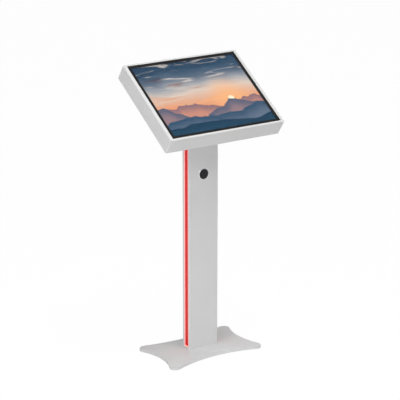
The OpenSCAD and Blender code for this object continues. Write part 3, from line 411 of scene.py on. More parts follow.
@lru_cache(maxsize=None)
def dust_group() -> Tree:
    """A mask of the fine dust that settles on faces that look up.

    Returns:
        The group's tree.
    """
    w, given, out = new_group("settled_dust", {"Vector": "Vector", "Share": "Float"}, ("Mask",))
    up = w.add("SeparateXYZ", {0: w.add("TexCoord").outputs["Normal"]}).outputs["Z"]
    level = w.remap(up, 0.55, 1.0)
    patch = w.remap(w.noise(given["Vector"], 24.0, 6), 0.34, 0.7)
    w.feed(out["Mask"], w.math("MULTIPLY", w.math("MULTIPLY", level, patch), given["Share"], clamp=True))
    return w.tree


def uneven_colour(w: Wiring, at: Socket, colour: Colour, scale: float, spread: float) -> Socket:
    """The colour as it wanders by a share over patches of a scale."""
    node = w.group(uneven_group(), Vector=at, Base=rgba(colour), Scale=scale, Spread=spread)
    return node.outputs["Colour"]


def new_material(name: str) -> tuple[Material, Wiring, Node]:
    """An empty material.

    Args:
        name: Its name.

    Returns:
        The material, its wiring, and its Principled BSDF.
    """
    material = bpy.data.materials.new(name)
    material.use_nodes = True
    return material, Wiring(material.node_tree), material.node_tree.nodes["Principled BSDF"]


@dataclass(frozen=True)
class Finish:
    """An opaque finish with its grain, its uneven tone, its wear, and lighter edges that are wear and a
    painted highlight.

    Args:
        colour: Base colour.
        rough: Roughness where the grain's tone is lowest and highest.
        metallic: 1 for bare metal.
        grain: Kind of fine relief.
        grain_size: Distance from one bump to the next.
        grain_depth: Height of a bump.
        uneven: How far the tone wanders, as a share.
        uneven_size: Size of the patches that it wanders over.
        grain_tone: How much darker the grain's tone draws the colour.
        worn_and_highlit: Colour of rubbed edges, lighter than the body as wear and as a painted highlight.
        worn_and_highlit_share: How much of an edge is rubbed.
        dust: How much dust shows on faces that look up.
        coat: Weight of a clear coat.
        shine: Specular level, 0.5 for plain paint and plastic.
        centre: Point that the grain is centred on.
        turn: Angle about X that the grain is turned by.
    """

    colour: Colour
    rough: tuple[float, float] = (0.45, 0.55)
    metallic: float = 0.0
    grain: Grain = Grain.STIPPLE
    grain_size: float = 0.6 * MM
    grain_depth: float = 0.02 * MM
    uneven: float = 0.04
    uneven_size: float = 60 * MM
    grain_tone: float = 0.0
    worn_and_highlit: Colour = paint(240, 240, 240)
    worn_and_highlit_share: float = 0.25
    dust: float = 0.08
    coat: float = 0.0
    shine: float = 0.5
    centre: Triple = (0.0, 0.0, 0.0)
    turn: float = 0.0

    def build(self, name: str) -> Material:
        """Makes the material.

        Args:
            name: Its name.

        Returns:
            The material.
        """
        material, w, shader = new_material(name)
        at = w.place(self.centre, (self.turn, 0, 0))
        grain = w.group(grain_group(self.grain), Vector=at, Scale=1 / self.grain_size).outputs
        tone = uneven_colour(w, at, self.colour, 1 / self.uneven_size, self.uneven)
        if self.grain_tone:
            shade = w.remap(grain["Tone"], 0.2, 0.8, 0.0, self.grain_tone)
            tone = w.mix(shade, tone, rgba(tuple(GRAIN_SHADE * c for c in self.colour)))
        # Edges drawn lighter: wear, and a painted highlight on the rounded rims
        rubbed_and_highlit = w.group(edge_group(), Vector=at, Share=self.worn_and_highlit_share).outputs["Mask"]
        tone = w.mix(rubbed_and_highlit, tone, rgba(self.worn_and_highlit))
        dusty = w.group(dust_group(), Vector=at, Share=self.dust).outputs["Mask"]
        gloss = w.remap(grain["Tone"], *NOISE_SPAN, *self.rough)
        w.fill(shader, {
            "Base Color": w.mix(dusty, tone, rgba(DUST)),
            "Roughness": w.math("MULTIPLY_ADD", dusty, DUST_ROUGHNESS, gloss, clamp=True),
            "Metallic": self.metallic,
            "Specular IOR Level": self.shine,
            "Coat Weight": self.coat,
            "Coat Roughness": COAT_ROUGHNESS,
        })
        w.relief(shader, grain["Height"], self.grain_depth)
        return material


@dataclass(frozen=True)
class StripFinish:
    """Plastic of a light strip: an uneven body colour, and a glow that fades towards its sides, real light on
    the lens and painted red light on the tray.

    Args:
        colour: Body colour.
        glow: Colour of the light that it gives; on the tray, which only catches it, that light is painted on.
        strength: Strength of that light.
        patches: Scale of the uneven tone.
        rough: Lowest and highest roughness.
        fade: Level of the glow at its sides, from 1 in the middle.
        centre_y: Middle of the strip across its width.
        lens_half: Half the width of the lens.
    """

    colour: Colour
    glow: Colour
    strength: float
    patches: float
    rough: tuple[float, float]
    fade: float
    centre_y: float = -2.5 * MM
    lens_half: float = 10 * MM

    def surface(self, w: Wiring, shader: Node, at: Socket) -> Socket:
        """Adds the roughness and the relief.

        Args:
            w: The material's wiring.
            shader: Its shader.
            at: Place from the middle of the strip.

        Returns:
            The level of the glow.
        """
        raise NotImplementedError

    def build(self, name: str) -> Material:
        """Makes the material.

        Args:
            name: Its name.

        Returns:
            The material.
        """
        material, w, shader = new_material(name)
        at = w.place((0, self.centre_y, 0))
        level = self.surface(w, shader, at)
        w.fill(shader, {
            "Base Color": uneven_colour(w, at, self.colour, self.patches, 0.03),
            "Emission Color": w.dimmed(rgba(self.glow), level),
            "Emission Strength": self.strength,
        })
        return material


@dataclass(frozen=True)
class LensFinish(StripFinish):
    """Red diffusing plastic over a row of lamps.

    Args:
        shine: Specular level.
        ripple: How much the glow wavers from lamp to lamp.
        pitch: Distance from lamp to lamp.
        rib: Distance between the fine ribs that run its length.
        rib_relief: Depth and strength of their bump.
    """

    colour: Colour = paint(208, 22, 24)
    glow: Colour = paint(228, 30, 30)
    strength: float = 0.25
    patches: float = 30.0
    rough: tuple[float, float] = (0.22, 0.34)
    fade: float = 0.78
    shine: float = 0.2
    ripple: float = 0.04
    pitch: float = 20 * MM
    rib: float = 1.25 * MM
    rib_relief: tuple[float, float] = (0.25, 0.1)

    def surface(self, w: Wiring, shader: Node, at: Socket) -> Socket:
        """Adds the ribs and the ripple of the lamps.

        Args:
            w: The material's wiring.
            shader: Its shader.
            at: Place from the middle of the strip.

        Returns:
            The level of the glow.
        """
        _, across, up = w.add("SeparateXYZ", {0: at}).outputs
        rough = w.remap(w.noise(at, 300.0, 3), *NOISE_SPAN, *self.rough)
        w.fill(shader, {"Roughness": rough, "Specular IOR Level": self.shine})
        w.relief(shader, w.math("PINGPONG", across, self.rib / 2), *self.rib_relief)
        off = w.math("DIVIDE", w.math("ABSOLUTE", across), self.lens_half)
        lamp = w.math("COSINE", w.math("MULTIPLY", up, 2 * math.pi / self.pitch))
        wave = w.math("MULTIPLY_ADD", lamp, self.ripple, 1 - self.ripple)
        return w.math("MULTIPLY", w.remap(off, 0.1, 1.0, 1.0, self.fade), wave)


@dataclass(frozen=True)
class TrayFinish(StripFinish):
    """White plastic of the dish beside the lens, lit red by it, that red light painted on as a pink tint and a
    glow.

    Args:
        dish_half: Half the width of the dish.
        stipple: Scale of its stipple.
        stipple_depth: Height of the stipple.
    """

    # Pink tint: the lens's red light painted on white plastic
    colour: Colour = paint(246, 206, 202)
    # Painted red light from the lens, as a glow that fades towards the dish's edge
    glow: Colour = paint(255, 92, 90)
    strength: float = 0.62
    patches: float = 25.0
    rough: tuple[float, float] = (0.4, 0.52)
    fade: float = 0.3
    dish_half: float = 16 * MM
    stipple: float = 1800.0
    stipple_depth: float = 0.01 * MM

    def surface(self, w: Wiring, shader: Node, at: Socket) -> Socket:
        """Adds the stipple and the fall of the painted red light away from the lens.

        Args:
            w: The material's wiring.
            shader: Its shader.
            at: Place from the middle of the strip.

        Returns:
            The level of the painted glow.
        """
        across = w.math("ABSOLUTE", w.add("SeparateXYZ", {0: at}).outputs["Y"])
        grain = w.group(grain_group(Grain.STIPPLE), Vector=at, Scale=self.stipple).outputs
        w.feed(shader.inputs["Roughness"], w.remap(grain["Tone"], *NOISE_SPAN, *self.rough))
        w.relief(shader, grain["Height"], self.stipple_depth)
        return w.remap(across, self.lens_half * 0.9, self.dish_half * 1.15, 1.0, self.fade)


@dataclass(frozen=True)
class GlassFinish:
    """Clear cover glass with a coating against reflections.

    Args:
        colour: Faint tint of the glass.
        index: Refractive index, low because of the coating.
        smear: Roughness of clean glass and of glass that fingers have touched.
    """

    colour: Colour = (0.98, 0.99, 0.985)
    index: float = 1.15
    smear: tuple[float, float] = (0.0, 0.05)

    def build(self, name: str) -> Material:
        """Makes the material.

        Args:
            name: Its name.

        Returns:
            The material.
        """
        material, w, shader = new_material(name)
        at = w.place(HEAD.origin, (HEAD.tilt, 0, 0))
        w.fill(shader, {
            "Base Color": rgba(self.colour),
            "Transmission Weight": 1.0,
            "IOR": self.index,
            "Roughness": w.remap(w.noise(at, 9.0, 3, 0.5), 0.5, 0.75, *self.smear),
        })
        return material


@dataclass(frozen=True)
class Ridge:
    """One line of hills in the picture.

    Args:
        level: Height of its middle, from -1, the foot of the screen, to 1, its top.
        swing: How far its crest rises and falls.
        pace: Hills across half the screen.
        seed: Where its crest starts in the noise.
        crest: Colour at its crest.
        foot: Colour in the haze at its foot.
        depth: How far down from the crest that haze lies.
    """

    level: float
    swing: float
    pace: float
    seed: float
    crest: Colour
    foot: Colour
    depth: float


@dataclass(frozen=True)
class PictureFinish:
    """A generic evening landscape, drawn on the lit face of the display.

    Args:
        centre: Middle of the face.
        half: Half its width and height.
        sky: Height and colour of each band of the sky, upwards.
        sun: Place of the sun, and the size of its disc.
        ridges: Lines of hills, the farthest first.
        cloud: Colour of the clouds low down and high up.
        wisp: Colour of the thin clouds before them.
        sun_glow: Colour round the sun.
        sun_disc: Colour of its disc.
    """

    centre: Triple
    half: tuple[float, float]
    sky: tuple[tuple[float, Colour], ...] = (
        (-0.55, paint(214, 112, 78)),
        (-0.34, paint(238, 146, 102)),
        (-0.12, paint(229, 172, 140)),
        (0.12, paint(222, 203, 190)),
        (0.34, paint(160, 163, 170)),
        (0.56, paint(88, 106, 127)),
        (0.8, paint(42, 74, 101)),
        (1.0, paint(30, 60, 86)),
    )
    sun: Triple = (0.46, -0.2, 0.075)
    ridges: tuple[Ridge, ...] = (
        Ridge(-0.26, 0.34, 1.7, 3.1, paint(142, 112, 120), paint(206, 142, 122), 0.3),
        Ridge(-0.42, 0.4, 1.3, 11.4, paint(92, 98, 120), paint(150, 124, 130), 0.34),
        Ridge(-0.58, 0.36, 1.0, 23.7, paint(52, 82, 110), paint(96, 112, 134), 0.36),
        Ridge(-0.8, 0.3, 0.8, 37.2, paint(20, 60, 86), paint(30, 76, 104), 0.4),
    )
    cloud: tuple[Colour, Colour] = (paint(250, 176, 128), paint(44, 66, 90))
    wisp: Colour = paint(226, 214, 204)
    sun_glow: Colour = paint(255, 186, 128)
    sun_disc: Colour = paint(255, 238, 206)

    def sky_colour(self, w: Wiring, at: Socket, height: Socket) -> Socket:
        """The sky, its bands warped a little.

        Args:
            w: The material's wiring.
            at: Place on the screen.
            height: Height on the screen.

        Returns:
            The colour.
        """
        warp = w.math("SUBTRACT", w.noise(at, 1.1, 5, 0.6), 0.5)
        level = w.math("MULTIPLY_ADD", w.math("MULTIPLY_ADD", warp, 0.5, height), 0.5, 0.5)
        ramp = w.add("ValToRGB", {0: level})
        bands = ramp.color_ramp.elements
        for i, (place, colour) in enumerate(self.sky):
            band = bands[i] if i < 2 else bands.new(1.0)
            band.position = (place + 1) / 2
            band.color = rgba(colour)
        return ramp.outputs[0]

    def clouds(self, w: Wiring, at: Socket, height: Socket, sky: Socket) -> Socket:
        """Lays long thin clouds over the sky.

        Args:
            w: The material's wiring.
            at: Place on the screen.
            height: Height on the screen.
            sky: The sky's colour.

        Returns:
            The colour.
        """
        drawn = w.scaled(at, (0.7, 3.4, 1))
        body = w.remap(w.noise(drawn, 1.5, 7, 0.9), 0.5, 0.68, 0.0, 0.85)
        lit = w.remap(height, -0.3, 0.75)
        tint = w.mix(lit, *map(rgba, self.cloud))
        sky = w.mix(body, sky, tint)
        shifted = w.add("VectorMath", {0: drawn, 1: (5.3, 1.13, 0)}, operation="ADD").outputs[0]
        wisps = w.remap(w.noise(shifted, 2.3, 8, 1.2), 0.54, 0.7, 0.0, 0.7)
        return w.mix(w.math("MULTIPLY", wisps, lit), sky, rgba(self.wisp))

    def sunlight(self, w: Wiring, across: Socket, height: Socket, sky: Socket) -> Socket:
        """Adds the sun and the glow round it.

        Args:
            w: The material's wiring.
            across: Place across the screen.
            height: Height on the screen.
            sky: The sky's colour.

        Returns:
            The colour.
        """
        aspect = self.half[0] / self.half[1]
        dx = w.math("MULTIPLY", w.math("SUBTRACT", across, self.sun[0]), aspect)
        dy = w.math("SUBTRACT", height, self.sun[1])
        away = w.math("SQRT", w.math("ADD", w.math("MULTIPLY", dx, dx), w.math("MULTIPLY", dy, dy)))
        glow = w.remap(away, self.sun[2], 0.75, 0.75, 0.0)
        sky = w.mix(glow, sky, rgba(self.sun_glow))
        disc = w.remap(away, self.sun[2] * 0.85, self.sun[2] * 1.1, 1.0, 0.0)
        return w.mix(disc, sky, rgba(self.sun_disc))

    def hills(self, w: Wiring, across: Socket, height: Socket, scene: Socket) -> Socket:
        """Lays the lines of hills in front of the sky.

        Args:
            w: The material's wiring.
            across: Place across the screen.
            height: Height on the screen.
            scene: The colour behind them.

        Returns:
            The colour.
        """
        for ridge in self.ridges:
            spot = w.math("ADD", across, ridge.seed)
            line = {"W": spot, "Scale": ridge.pace, "Detail": 7, "Roughness": 0.48}
            crest = w.add("TexNoise", line, noise_dimensions="1D").outputs[0]
            crest = w.math("MULTIPLY_ADD", crest, 2 * ridge.swing, ridge.level - ridge.swing)
            below = w.math("SUBTRACT", crest, height)
            shade = w.mix(w.remap(below, 0.0, ridge.depth), rgba(ridge.crest), rgba(ridge.foot))
            scene = w.mix(w.remap(below, -0.006, 0.006), scene, shade)
        return scene

    def build(self, name: str) -> Material:
        """Makes the material.

        Args:
            name: Its name.

        Returns:
            The material.
        """
        material, w, shader = new_material(name)
        at = w.place(self.centre, (HEAD.tilt, 0, 0), (*self.half, 1))
        across, height, _ = w.add("SeparateXYZ", {0: at}).outputs
        flat = w.add("CombineXYZ", {0: across, 1: height}).outputs[0]
        scene = self.clouds(w, flat, height, self.sky_colour(w, flat, height))
        scene = self.hills(w, across, height, self.sunlight(w, across, height, scene))
        w.fill(shader, {
            "Base Color": w.mix(0.97, scene, rgba((0.0, 0.0, 0.0))),
            "Roughness": w.remap(w.noise(flat, 900.0, 2), *NOISE_SPAN, 0.3, 0.4),
            "Specular IOR Level": 0.0,
            "Emission Color": scene,
            "Emission Strength": 1.0,
        })
        return material


# Each finish's worn colour lightens its rounded edges, as wear and as a painted highlight
FINISHES: dict[Slot, Finish | StripFinish | GlassFinish] = {
    # Powder paint's lighter edges paint a highlight along the head's rims, besides wear
    Slot.POWDER_PAINT: Finish(
        paint(226, 226, 226), (0.34, 0.46), grain=Grain.PEEL, grain_size=1.3 * MM, grain_depth=0.014 * MM,
        uneven=0.012, uneven_size=160 * MM, worn_and_highlit=paint(246, 246, 246), worn_and_highlit_share=0.35, dust=0.05,
        shine=0.25,
    ),
    Slot.FLOOR_RUBBER: Finish(
        paint(38, 38, 40), (0.8, 0.9), grain=Grain.STIPPLE, grain_size=0.8 * MM, grain_depth=0.1 * MM,
        worn_and_highlit=paint(74, 74, 76), worn_and_highlit_share=0.5,
    ),
    Slot.ZINC_STEEL: Finish(
        paint(176, 182, 186), (0.3, 0.46), 1.0, Grain.SPANGLE, 7 * MM, 0.006 * MM, uneven=0.05,
        grain_tone=0.16, worn_and_highlit=paint(214, 218, 222), worn_and_highlit_share=0.5, dust=0.12,
    ),
    Slot.FASTENER_STEEL: Finish(
        paint(168, 172, 176), (0.24, 0.38), 1.0, Grain.ROLLED, 0.5 * MM, 0.006 * MM, uneven=0.08,
        uneven_size=8 * MM, worn_and_highlit=paint(222, 224, 226), worn_and_highlit_share=0.7,
    ),
    Slot.BARREL_CHROME: Finish(
        paint(214, 217, 220), (0.08, 0.18), 1.0, Grain.TURNED, 0.3 * MM, 0.003 * MM, uneven=0.03,
        centre=(0.0, 69.425 * MM, 1078.279 * MM), turn=HEAD.tilt, worn_and_highlit=paint(240, 240, 240),
    ),
    Slot.TRAY_WHITE: TrayFinish(),
    Slot.LENS_RED: LensFinish(),
    Slot.CIRCUIT_GREEN: Finish(
        paint(18, 92, 58), (0.28, 0.42), grain=Grain.TRACKS, grain_size=9 * MM, grain_depth=0.03 * MM,
        uneven=0.06, grain_tone=0.55, worn_and_highlit=paint(176, 150, 92), worn_and_highlit_share=0.3, coat=0.4,
        centre=HEAD.origin, turn=HEAD.tilt,
    ),
    Slot.DRIVER_SHELL: Finish(paint(208, 210, 212), (0.4, 0.52), grain_size=0.5 * MM, grain_depth=0.03 * MM),
    Slot.BADGE_RIM: Finish(
        paint(238, 239, 240), (0.16, 0.26), 1.0, Grain.TURNED, 0.25 * MM, 0.003 * MM, uneven=0.03,
        uneven_size=12 * MM, centre=(0.0, 0.0, 765 * MM), turn=math.radians(90), worn_and_highlit=paint(250, 250, 250),
    ),
    Slot.BADGE_BLACK: Finish(
        paint(40, 39, 41), (0.3, 0.42), grain=Grain.TURNED, grain_size=0.4 * MM, grain_depth=0.004 * MM,
        uneven=0.08, uneven_size=10 * MM, shine=0.15, centre=(0.0, 0.0, 765 * MM), turn=math.radians(90),
        worn_and_highlit=paint(90, 92, 96),
    ),
    Slot.BLACK_PLASTIC: Finish(
        paint(33, 34, 36), (0.42, 0.56), grain_size=0.45 * MM, grain_depth=0.03 * MM, uneven=0.08,
        uneven_size=25 * MM, worn_and_highlit=paint(84, 85, 88), worn_and_highlit_share=0.45,
    ),
    Slot.ROCKER_RED: Finish(
        paint(188, 26, 32), (0.24, 0.36), grain_size=0.5 * MM, grain_depth=0.012 * MM, uneven=0.05,
        uneven_size=6 * MM, worn_and_highlit=paint(226, 96, 92), worn_and_highlit_share=0.5, coat=0.3,
    ),
    Slot.CABLE_BLACK: Finish(
        paint(40, 40, 43), (0.5, 0.62), grain_size=1.1 * MM, grain_depth=0.03 * MM, uneven=0.08,
        uneven_size=18 * MM, dust=0.2,
    ),
    Slot.BLACK_FOAM: Finish(
        paint(30, 30, 31), (0.88, 0.96), grain=Grain.CELLS, grain_size=0.9 * MM, grain_depth=0.25 * MM,
        grain_tone=0.5, worn_and_highlit_share=0.0,
    ),
    Slot.SCREEN_GLASS: GlassFinish(),
    Slot.BUTTON_GREY: Finish(
        paint(206, 208, 211), (0.3, 0.42), grain_size=0.4 * MM, grain_depth=0.01 * MM, uneven=0.03,
        uneven_size=4 * MM,
    ),
    Slot.STANDOFF_BRASS: Finish(
        paint(204, 170, 96), (0.22, 0.36), 1.0, Grain.ROLLED, 0.4 * MM, 0.005 * MM, uneven=0.08,
        uneven_size=5 * MM, worn_and_highlit=paint(236, 210, 150), worn_and_highlit_share=0.6,
    ),
    Slot.FAN_GREY: Finish(
        paint(52, 54, 58), (0.36, 0.5), grain_size=0.6 * MM, grain_depth=0.012 * MM, uneven=0.05,
        uneven_size=14 * MM, worn_and_highlit=paint(104, 106, 110), worn_and_highlit_share=0.5, dust=0.25,
    ),
}


# Mesh work


def merged_copy(node: Piece, flat_below: float = 0.6) -> Shape:
    """A copy of a node's mesh with its loose triangles joined into whole faces.

    Args:
        node: The node.
        flat_below: Angle in degrees up to which neighbours count as one flat face.

    Returns:
        The copy.
    """
    bm = bmesh.new()
    bm.from_mesh(node.data)
    bmesh.ops.remove_doubles(bm, verts=bm.verts, dist=WELD)
    bmesh.ops.dissolve_limit(bm, angle_limit=math.radians(flat_below), verts=bm.verts, edges=bm.edges)
    return bm


def round_edges(bm: Shape, width: float, segments: int = 2) -> None:
    """Rounds the sharp edges of a shape and marks the new faces in its edge attribute.

    Args:
        bm: The shape.
        width: Width of the rounding.
        segments: Faces across it.
    """
    mark = bm.faces.layers.float.get(EDGE_MARK) or bm.faces.layers.float.new(EDGE_MARK)
    sharp = [e for e in bm.edges if len(e.link_faces) == 2 and e.calc_face_angle(0.0) > SHARP_ABOVE]
    made = bmesh.ops.bevel(
        bm, geom=sharp, offset=width, offset_type="OFFSET", segments=segments, profile=0.5,
        affect="EDGES", clamp_overlap=True, material=-1,
    )
    for face in made["faces"]:
        face[mark] = 1.0


def linked(name: str, data: Any) -> Piece:
    """A new object at the origin of the scene.

    Args:
        name: Its name.
        data: Its mesh, lamp or camera.

    Returns:
        The object.
    """
    item = bpy.data.objects.new(name, data)
    bpy.context.scene.collection.objects.link(item)
    return item


def make_object(bm: Shape, name: str) -> Piece:
    """Turns a shape into an object of the scene, smooth but for its sharp edges.

    Args:
        bm: The shape, which is used up.
        name: The object's name.

    Returns:
        The object, at the origin.
    """
    for face in bm.faces:
        face.smooth = True
    for edge in bm.edges:
        edge.smooth = edge.calc_face_angle(0.0) < SMOOTH_BELOW
    mesh = bpy.data.meshes.new(name)
    bm.to_mesh(mesh)
    bm.free()
    piece = linked(name, mesh)
    weigh = piece.modifiers.new("even_shading", "WEIGHTED_NORMAL")
    weigh.keep_sharp = True
    return piece


def points_of(geometry: Iterable[Any]) -> list[bmesh.types.BMVert]:
    """The points among pieces of geometry."""
    return [item for item in geometry if isinstance(item, bmesh.types.BMVert)]


def placed(bm: Shape, place: Matrix) -> Shape:
    """The shape, moved to its place."""
    bmesh.ops.transform(bm, matrix=place, verts=bm.verts)
    return bm


def facing(point: Vector, outward: Vector) -> Matrix:
    """The place of a shape at a point whose Z looks outward."""
    return Matrix.Translation(point) @ outward.to_track_quat("Z", "Y").to_matrix().to_4x4()


def thicken(bm: Shape, height: float) -> None:
    """Turns level faces into a closed plate.

    Args:
        bm: The shape.
        height: How far the plate reaches along Z.
    """
    grown = bmesh.ops.extrude_face_region(bm, geom=bm.faces)["geom"]
    bmesh.ops.translate(bm, verts=points_of(grown), vec=(0, 0, height))
    bmesh.ops.recalc_face_normals(bm, faces=bm.faces)


def ring_stack(rings: Sequence[Triple], sides: int) -> Shape:
    """A round solid, drawn as rings from the middle of its top, out and down to the middle of its foot.

    Args:
        rings: Radius, height and depth of the six lobes of each ring, the lobes as a share of the radius.
        sides: Points of a ring.

    Returns:
        The closed shape, on the Z axis.
    """
    bm = bmesh.new()
    bmesh.ops.create_circle(bm, cap_ends=True, radius=rings[0][0], segments=sides)
    edges, points = list(bm.edges), list(bm.verts)
    for i, (radius, height, lobe) in enumerate(rings):
        if i:
            made = bmesh.ops.extrude_edge_only(bm, edges=edges)["geom"]
            points = points_of(made)
            ring = set(points)
            edges = [g for g in made if isinstance(g, bmesh.types.BMEdge) and ring.issuperset(g.verts)]
        for point in points:
            angle = math.atan2(point.co.y, point.co.x)
            reach = radius * (1 + lobe * math.cos(6 * angle))
            point.co = (reach * math.cos(angle), reach * math.sin(angle), height)
    bmesh.ops.contextual_create(bm, geom=edges)
    bmesh.ops.recalc_face_normals(bm, faces=bm.faces)
    return bm


def cuboid(size: Sequence[float], middle: Sequence[float]) -> Shape:
    """A plain block.

    Args:
        size: Its length along each axis.
        middle: Its middle.

    Returns:
        The shape.
    """
    bm = bmesh.new()
    bmesh.ops.create_cube(bm, size=1)
    bmesh.ops.scale(bm, verts=bm.verts, vec=size)
    bmesh.ops.translate(bm, verts=bm.verts, vec=middle)
    return bm


def block(low: Sequence[float], high: Sequence[float], rounding: float, place: Matrix) -> Shape:
    """A block with rounded edges.

    Args:
        low: Its lowest corner.
        high: Its highest corner.
        rounding: Width of the rounding.
        place: Where its frame lies.

    Returns:
        The shape.
    """
    bm = cuboid([h - l for l, h in zip(low, high)], [(h + l) / 2 for l, h in zip(low, high)])
    round_edges(bm, rounding)
    return placed(bm, place)


def gather(parts: Iterable[Shape]) -> Shape:
    """Puts several shapes into one.

    Args:
        parts: The shapes, which are used up.

    Returns:
        The whole.
    """
    whole = bmesh.new()
    whole.faces.layers.float.new(EDGE_MARK)
    for part in parts:
        carrier = bpy.data.meshes.new("carrier")
        part.to_mesh(carrier)
        part.free()
        whole.from_mesh(carrier)
        bpy.data.meshes.remove(carrier)
    return whole


def islands(node: Piece) -> list[list[Vector]]:
    """Finds the separate solids of a node.

    Args:
        node: The node.

    Returns:
        The points of each solid.
    """
    bm = merged_copy(node)
    waiting, found = set(bm.verts), []
    while waiting:
        front = [waiting.pop()]
        solid = []
        while front:
            vert = front.pop()
            solid.append(vert.co.copy())
            near = {e.other_vert(vert) for e in vert.link_edges} & waiting
            waiting -= near
            front.extend(near)
        found.append(solid)
    bm.free()
    return found


@dataclass(frozen=True)
class Screw:
    """A pan-head screw with a six-lobed socket and a cut thread.

    Args:
        head_r: Radius of the head.
        head_h: Height of the head.
        shank_r: Radius of the thread.
        pitch: Distance from thread to thread.
        sides: Points round the screw.
        key: Radius of the socket, as a share of the head's.
        socket: The socket's rings: radius and depth as shares of its radius and of the head's height,
            and depth of the lobes.
        dome: The head's rings: radius and depth as shares of its own.
    """

    head_r: float
    head_h: float
    shank_r: float
    pitch: float
    sides: int = 24
    key: float = 0.42
    socket: tuple[Triple, ...] = ((0.5, 0.7, 0.1), (0.92, 0.62, 0.17), (1, 0.08, 0.17), (1.12, 0.0, 0.1))
    dome: tuple[tuple[float, float], ...] = (
        (0.68, 0.0), (0.84, 0.14), (0.95, 0.38), (1, 0.66), (1, 0.95), (0.96, 1),
    )

    def rings(self, length: float) -> list[Triple]:
        """The screw's outline.

        Args:
            length: From the head's top, at z = 0, to the tip.

        Returns:
            Its rings, from the floor of its socket to its tip.
        """
        h, key, shank, pitch = self.head_h, self.head_r * self.key, self.shank_r, self.pitch
        rings = [(key * r, -h * z, lobe) for r, z, lobe in self.socket]
        rings += [(self.head_r * r, -h * z, 0.0) for r, z in self.dome]
        rings += [(shank, -h, 0.0)]
        turns = int((length - h) / pitch) - 1
        for i in range(1, turns + 1):
            foot = -h - i * pitch
            rings += [(shank, foot + 0.25 * pitch, 0.0), (shank * 0.84, foot, 0.0)]
        return rings + [(shank * 0.86, -length + 0.3 * pitch, 0.0), (shank * 0.6, -length, 0.0)]

    def seat(self, top: Vector, outward: Vector, length: float) -> Shape:
        """The screw with the middle of its head's top at a point, facing outward."""
        return placed(ring_stack(self.rings(length), self.sides), facing(top, outward))


M3_SCREW = Screw(2.8 * MM, 1.8 * MM, 1.5 * MM, 0.5 * MM)
M4_SCREW = Screw(3.8 * MM, 2.2 * MM, 2.0 * MM, 0.7 * MM)


@dataclass
class Workshop:
    """Holds the frame and the finishes, and turns nodes and shapes into dressed pieces.

    Args:
        nodes: The frame's nodes by name.
        materials: The finishes by slot.
    """

    nodes: dict[str, Piece]
    materials: dict[Slot, Material] = field(default_factory=dict)

    def coat(self) -> None:
        """Makes every finish, the picture among them."""
        low, high = HEAD.box(self.nodes["display_cell"])
        face = HEAD.matrix() @ Vector(((low.x + high.x) / 2, (low.y + high.y) / 2, high.z))
        for slot, finish in FINISHES.items():
            self.materials[slot] = finish.build(slot.value)
        picture = PictureFinish(tuple(face), PICTURE_HALF)
        self.materials[Slot.SCREEN_PICTURE] = picture.build(Slot.SCREEN_PICTURE.value)

    def fit(self, bm: Shape, name: str, slot: Slot, body: str = "root") -> Piece:
        """Makes a shape a piece of the part.

        Args:
            bm: The shape, in its place.
            name: The piece's name.
            slot: Its finish.
            body: The body that it moves with.

        Returns:
            The piece.
        """
        piece = make_object(bm, name)
        piece.data.materials.append(self.materials[slot])
        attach(piece, body)
        LOG.info("%s: %d faces, %s, rides on %s", name, len(piece.data.polygons), slot.value, body)
        return piece

    def dress(
        self, node: str, slot: Slot, rounding: float = 0.4 * MM, segments: int = 2, flat_below: float = 0.6
    ) -> Piece:
        """Stands a rounded copy in for a node.

        Args:
            node: The node's name.
            slot: Its finish.
            rounding: Width of its rounded edges, or 0 to leave them.
            segments: Faces across each rounding.
            flat_below: Angle in degrees up to which neighbouring faces count as one.

        Returns:
            The piece.
        """
        bm = merged_copy(self.nodes[node], flat_below)
        if rounding:
            round_edges(bm, rounding, segments)
        piece = self.fit(bm, f"{node}_dressed", slot, self.nodes[node]["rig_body"])
        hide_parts(node)
        return piece

    def recolour(self, piece: Piece, slot: Slot, rule: Callable[[bpy.types.MeshPolygon], bool]) -> None:
        """Gives some faces a second finish.

        Args:
            piece: The piece.
            slot: The second finish.
            rule: Picks the faces.
        """
        piece.data.materials.append(self.materials[slot])
        index = len(piece.data.materials) - 1
        for polygon in piece.data.polygons:
            if rule(polygon):
                polygon.material_index = index

    def screws(self, node: str, screw: Screw, outward: Vector) -> Piece:
        """Stands detailed screws in for the plain ones of a node.

        Args:
            node: The node's name.
            screw: The screw.
            outward: The way that the heads face.

        Returns:
            The piece.
        """
        shapes = []
        turn = outward.to_track_quat("Z", "Y")
        for points in islands(self.nodes[node]):
            low, high = corners([turn.inverted() @ p for p in points])
            top = turn @ Vector(((low[0] + high[0]) / 2, (low[1] + high[1]) / 2, high[2]))
            shapes.append(screw.seat(top, outward, high[2] - low[2]))
        piece = self.fit(gather(shapes), f"{node}_threaded", Slot.FASTENER_STEEL, self.nodes[node]["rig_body"])
        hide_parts(node)
        return piece


# Sub-assemblies


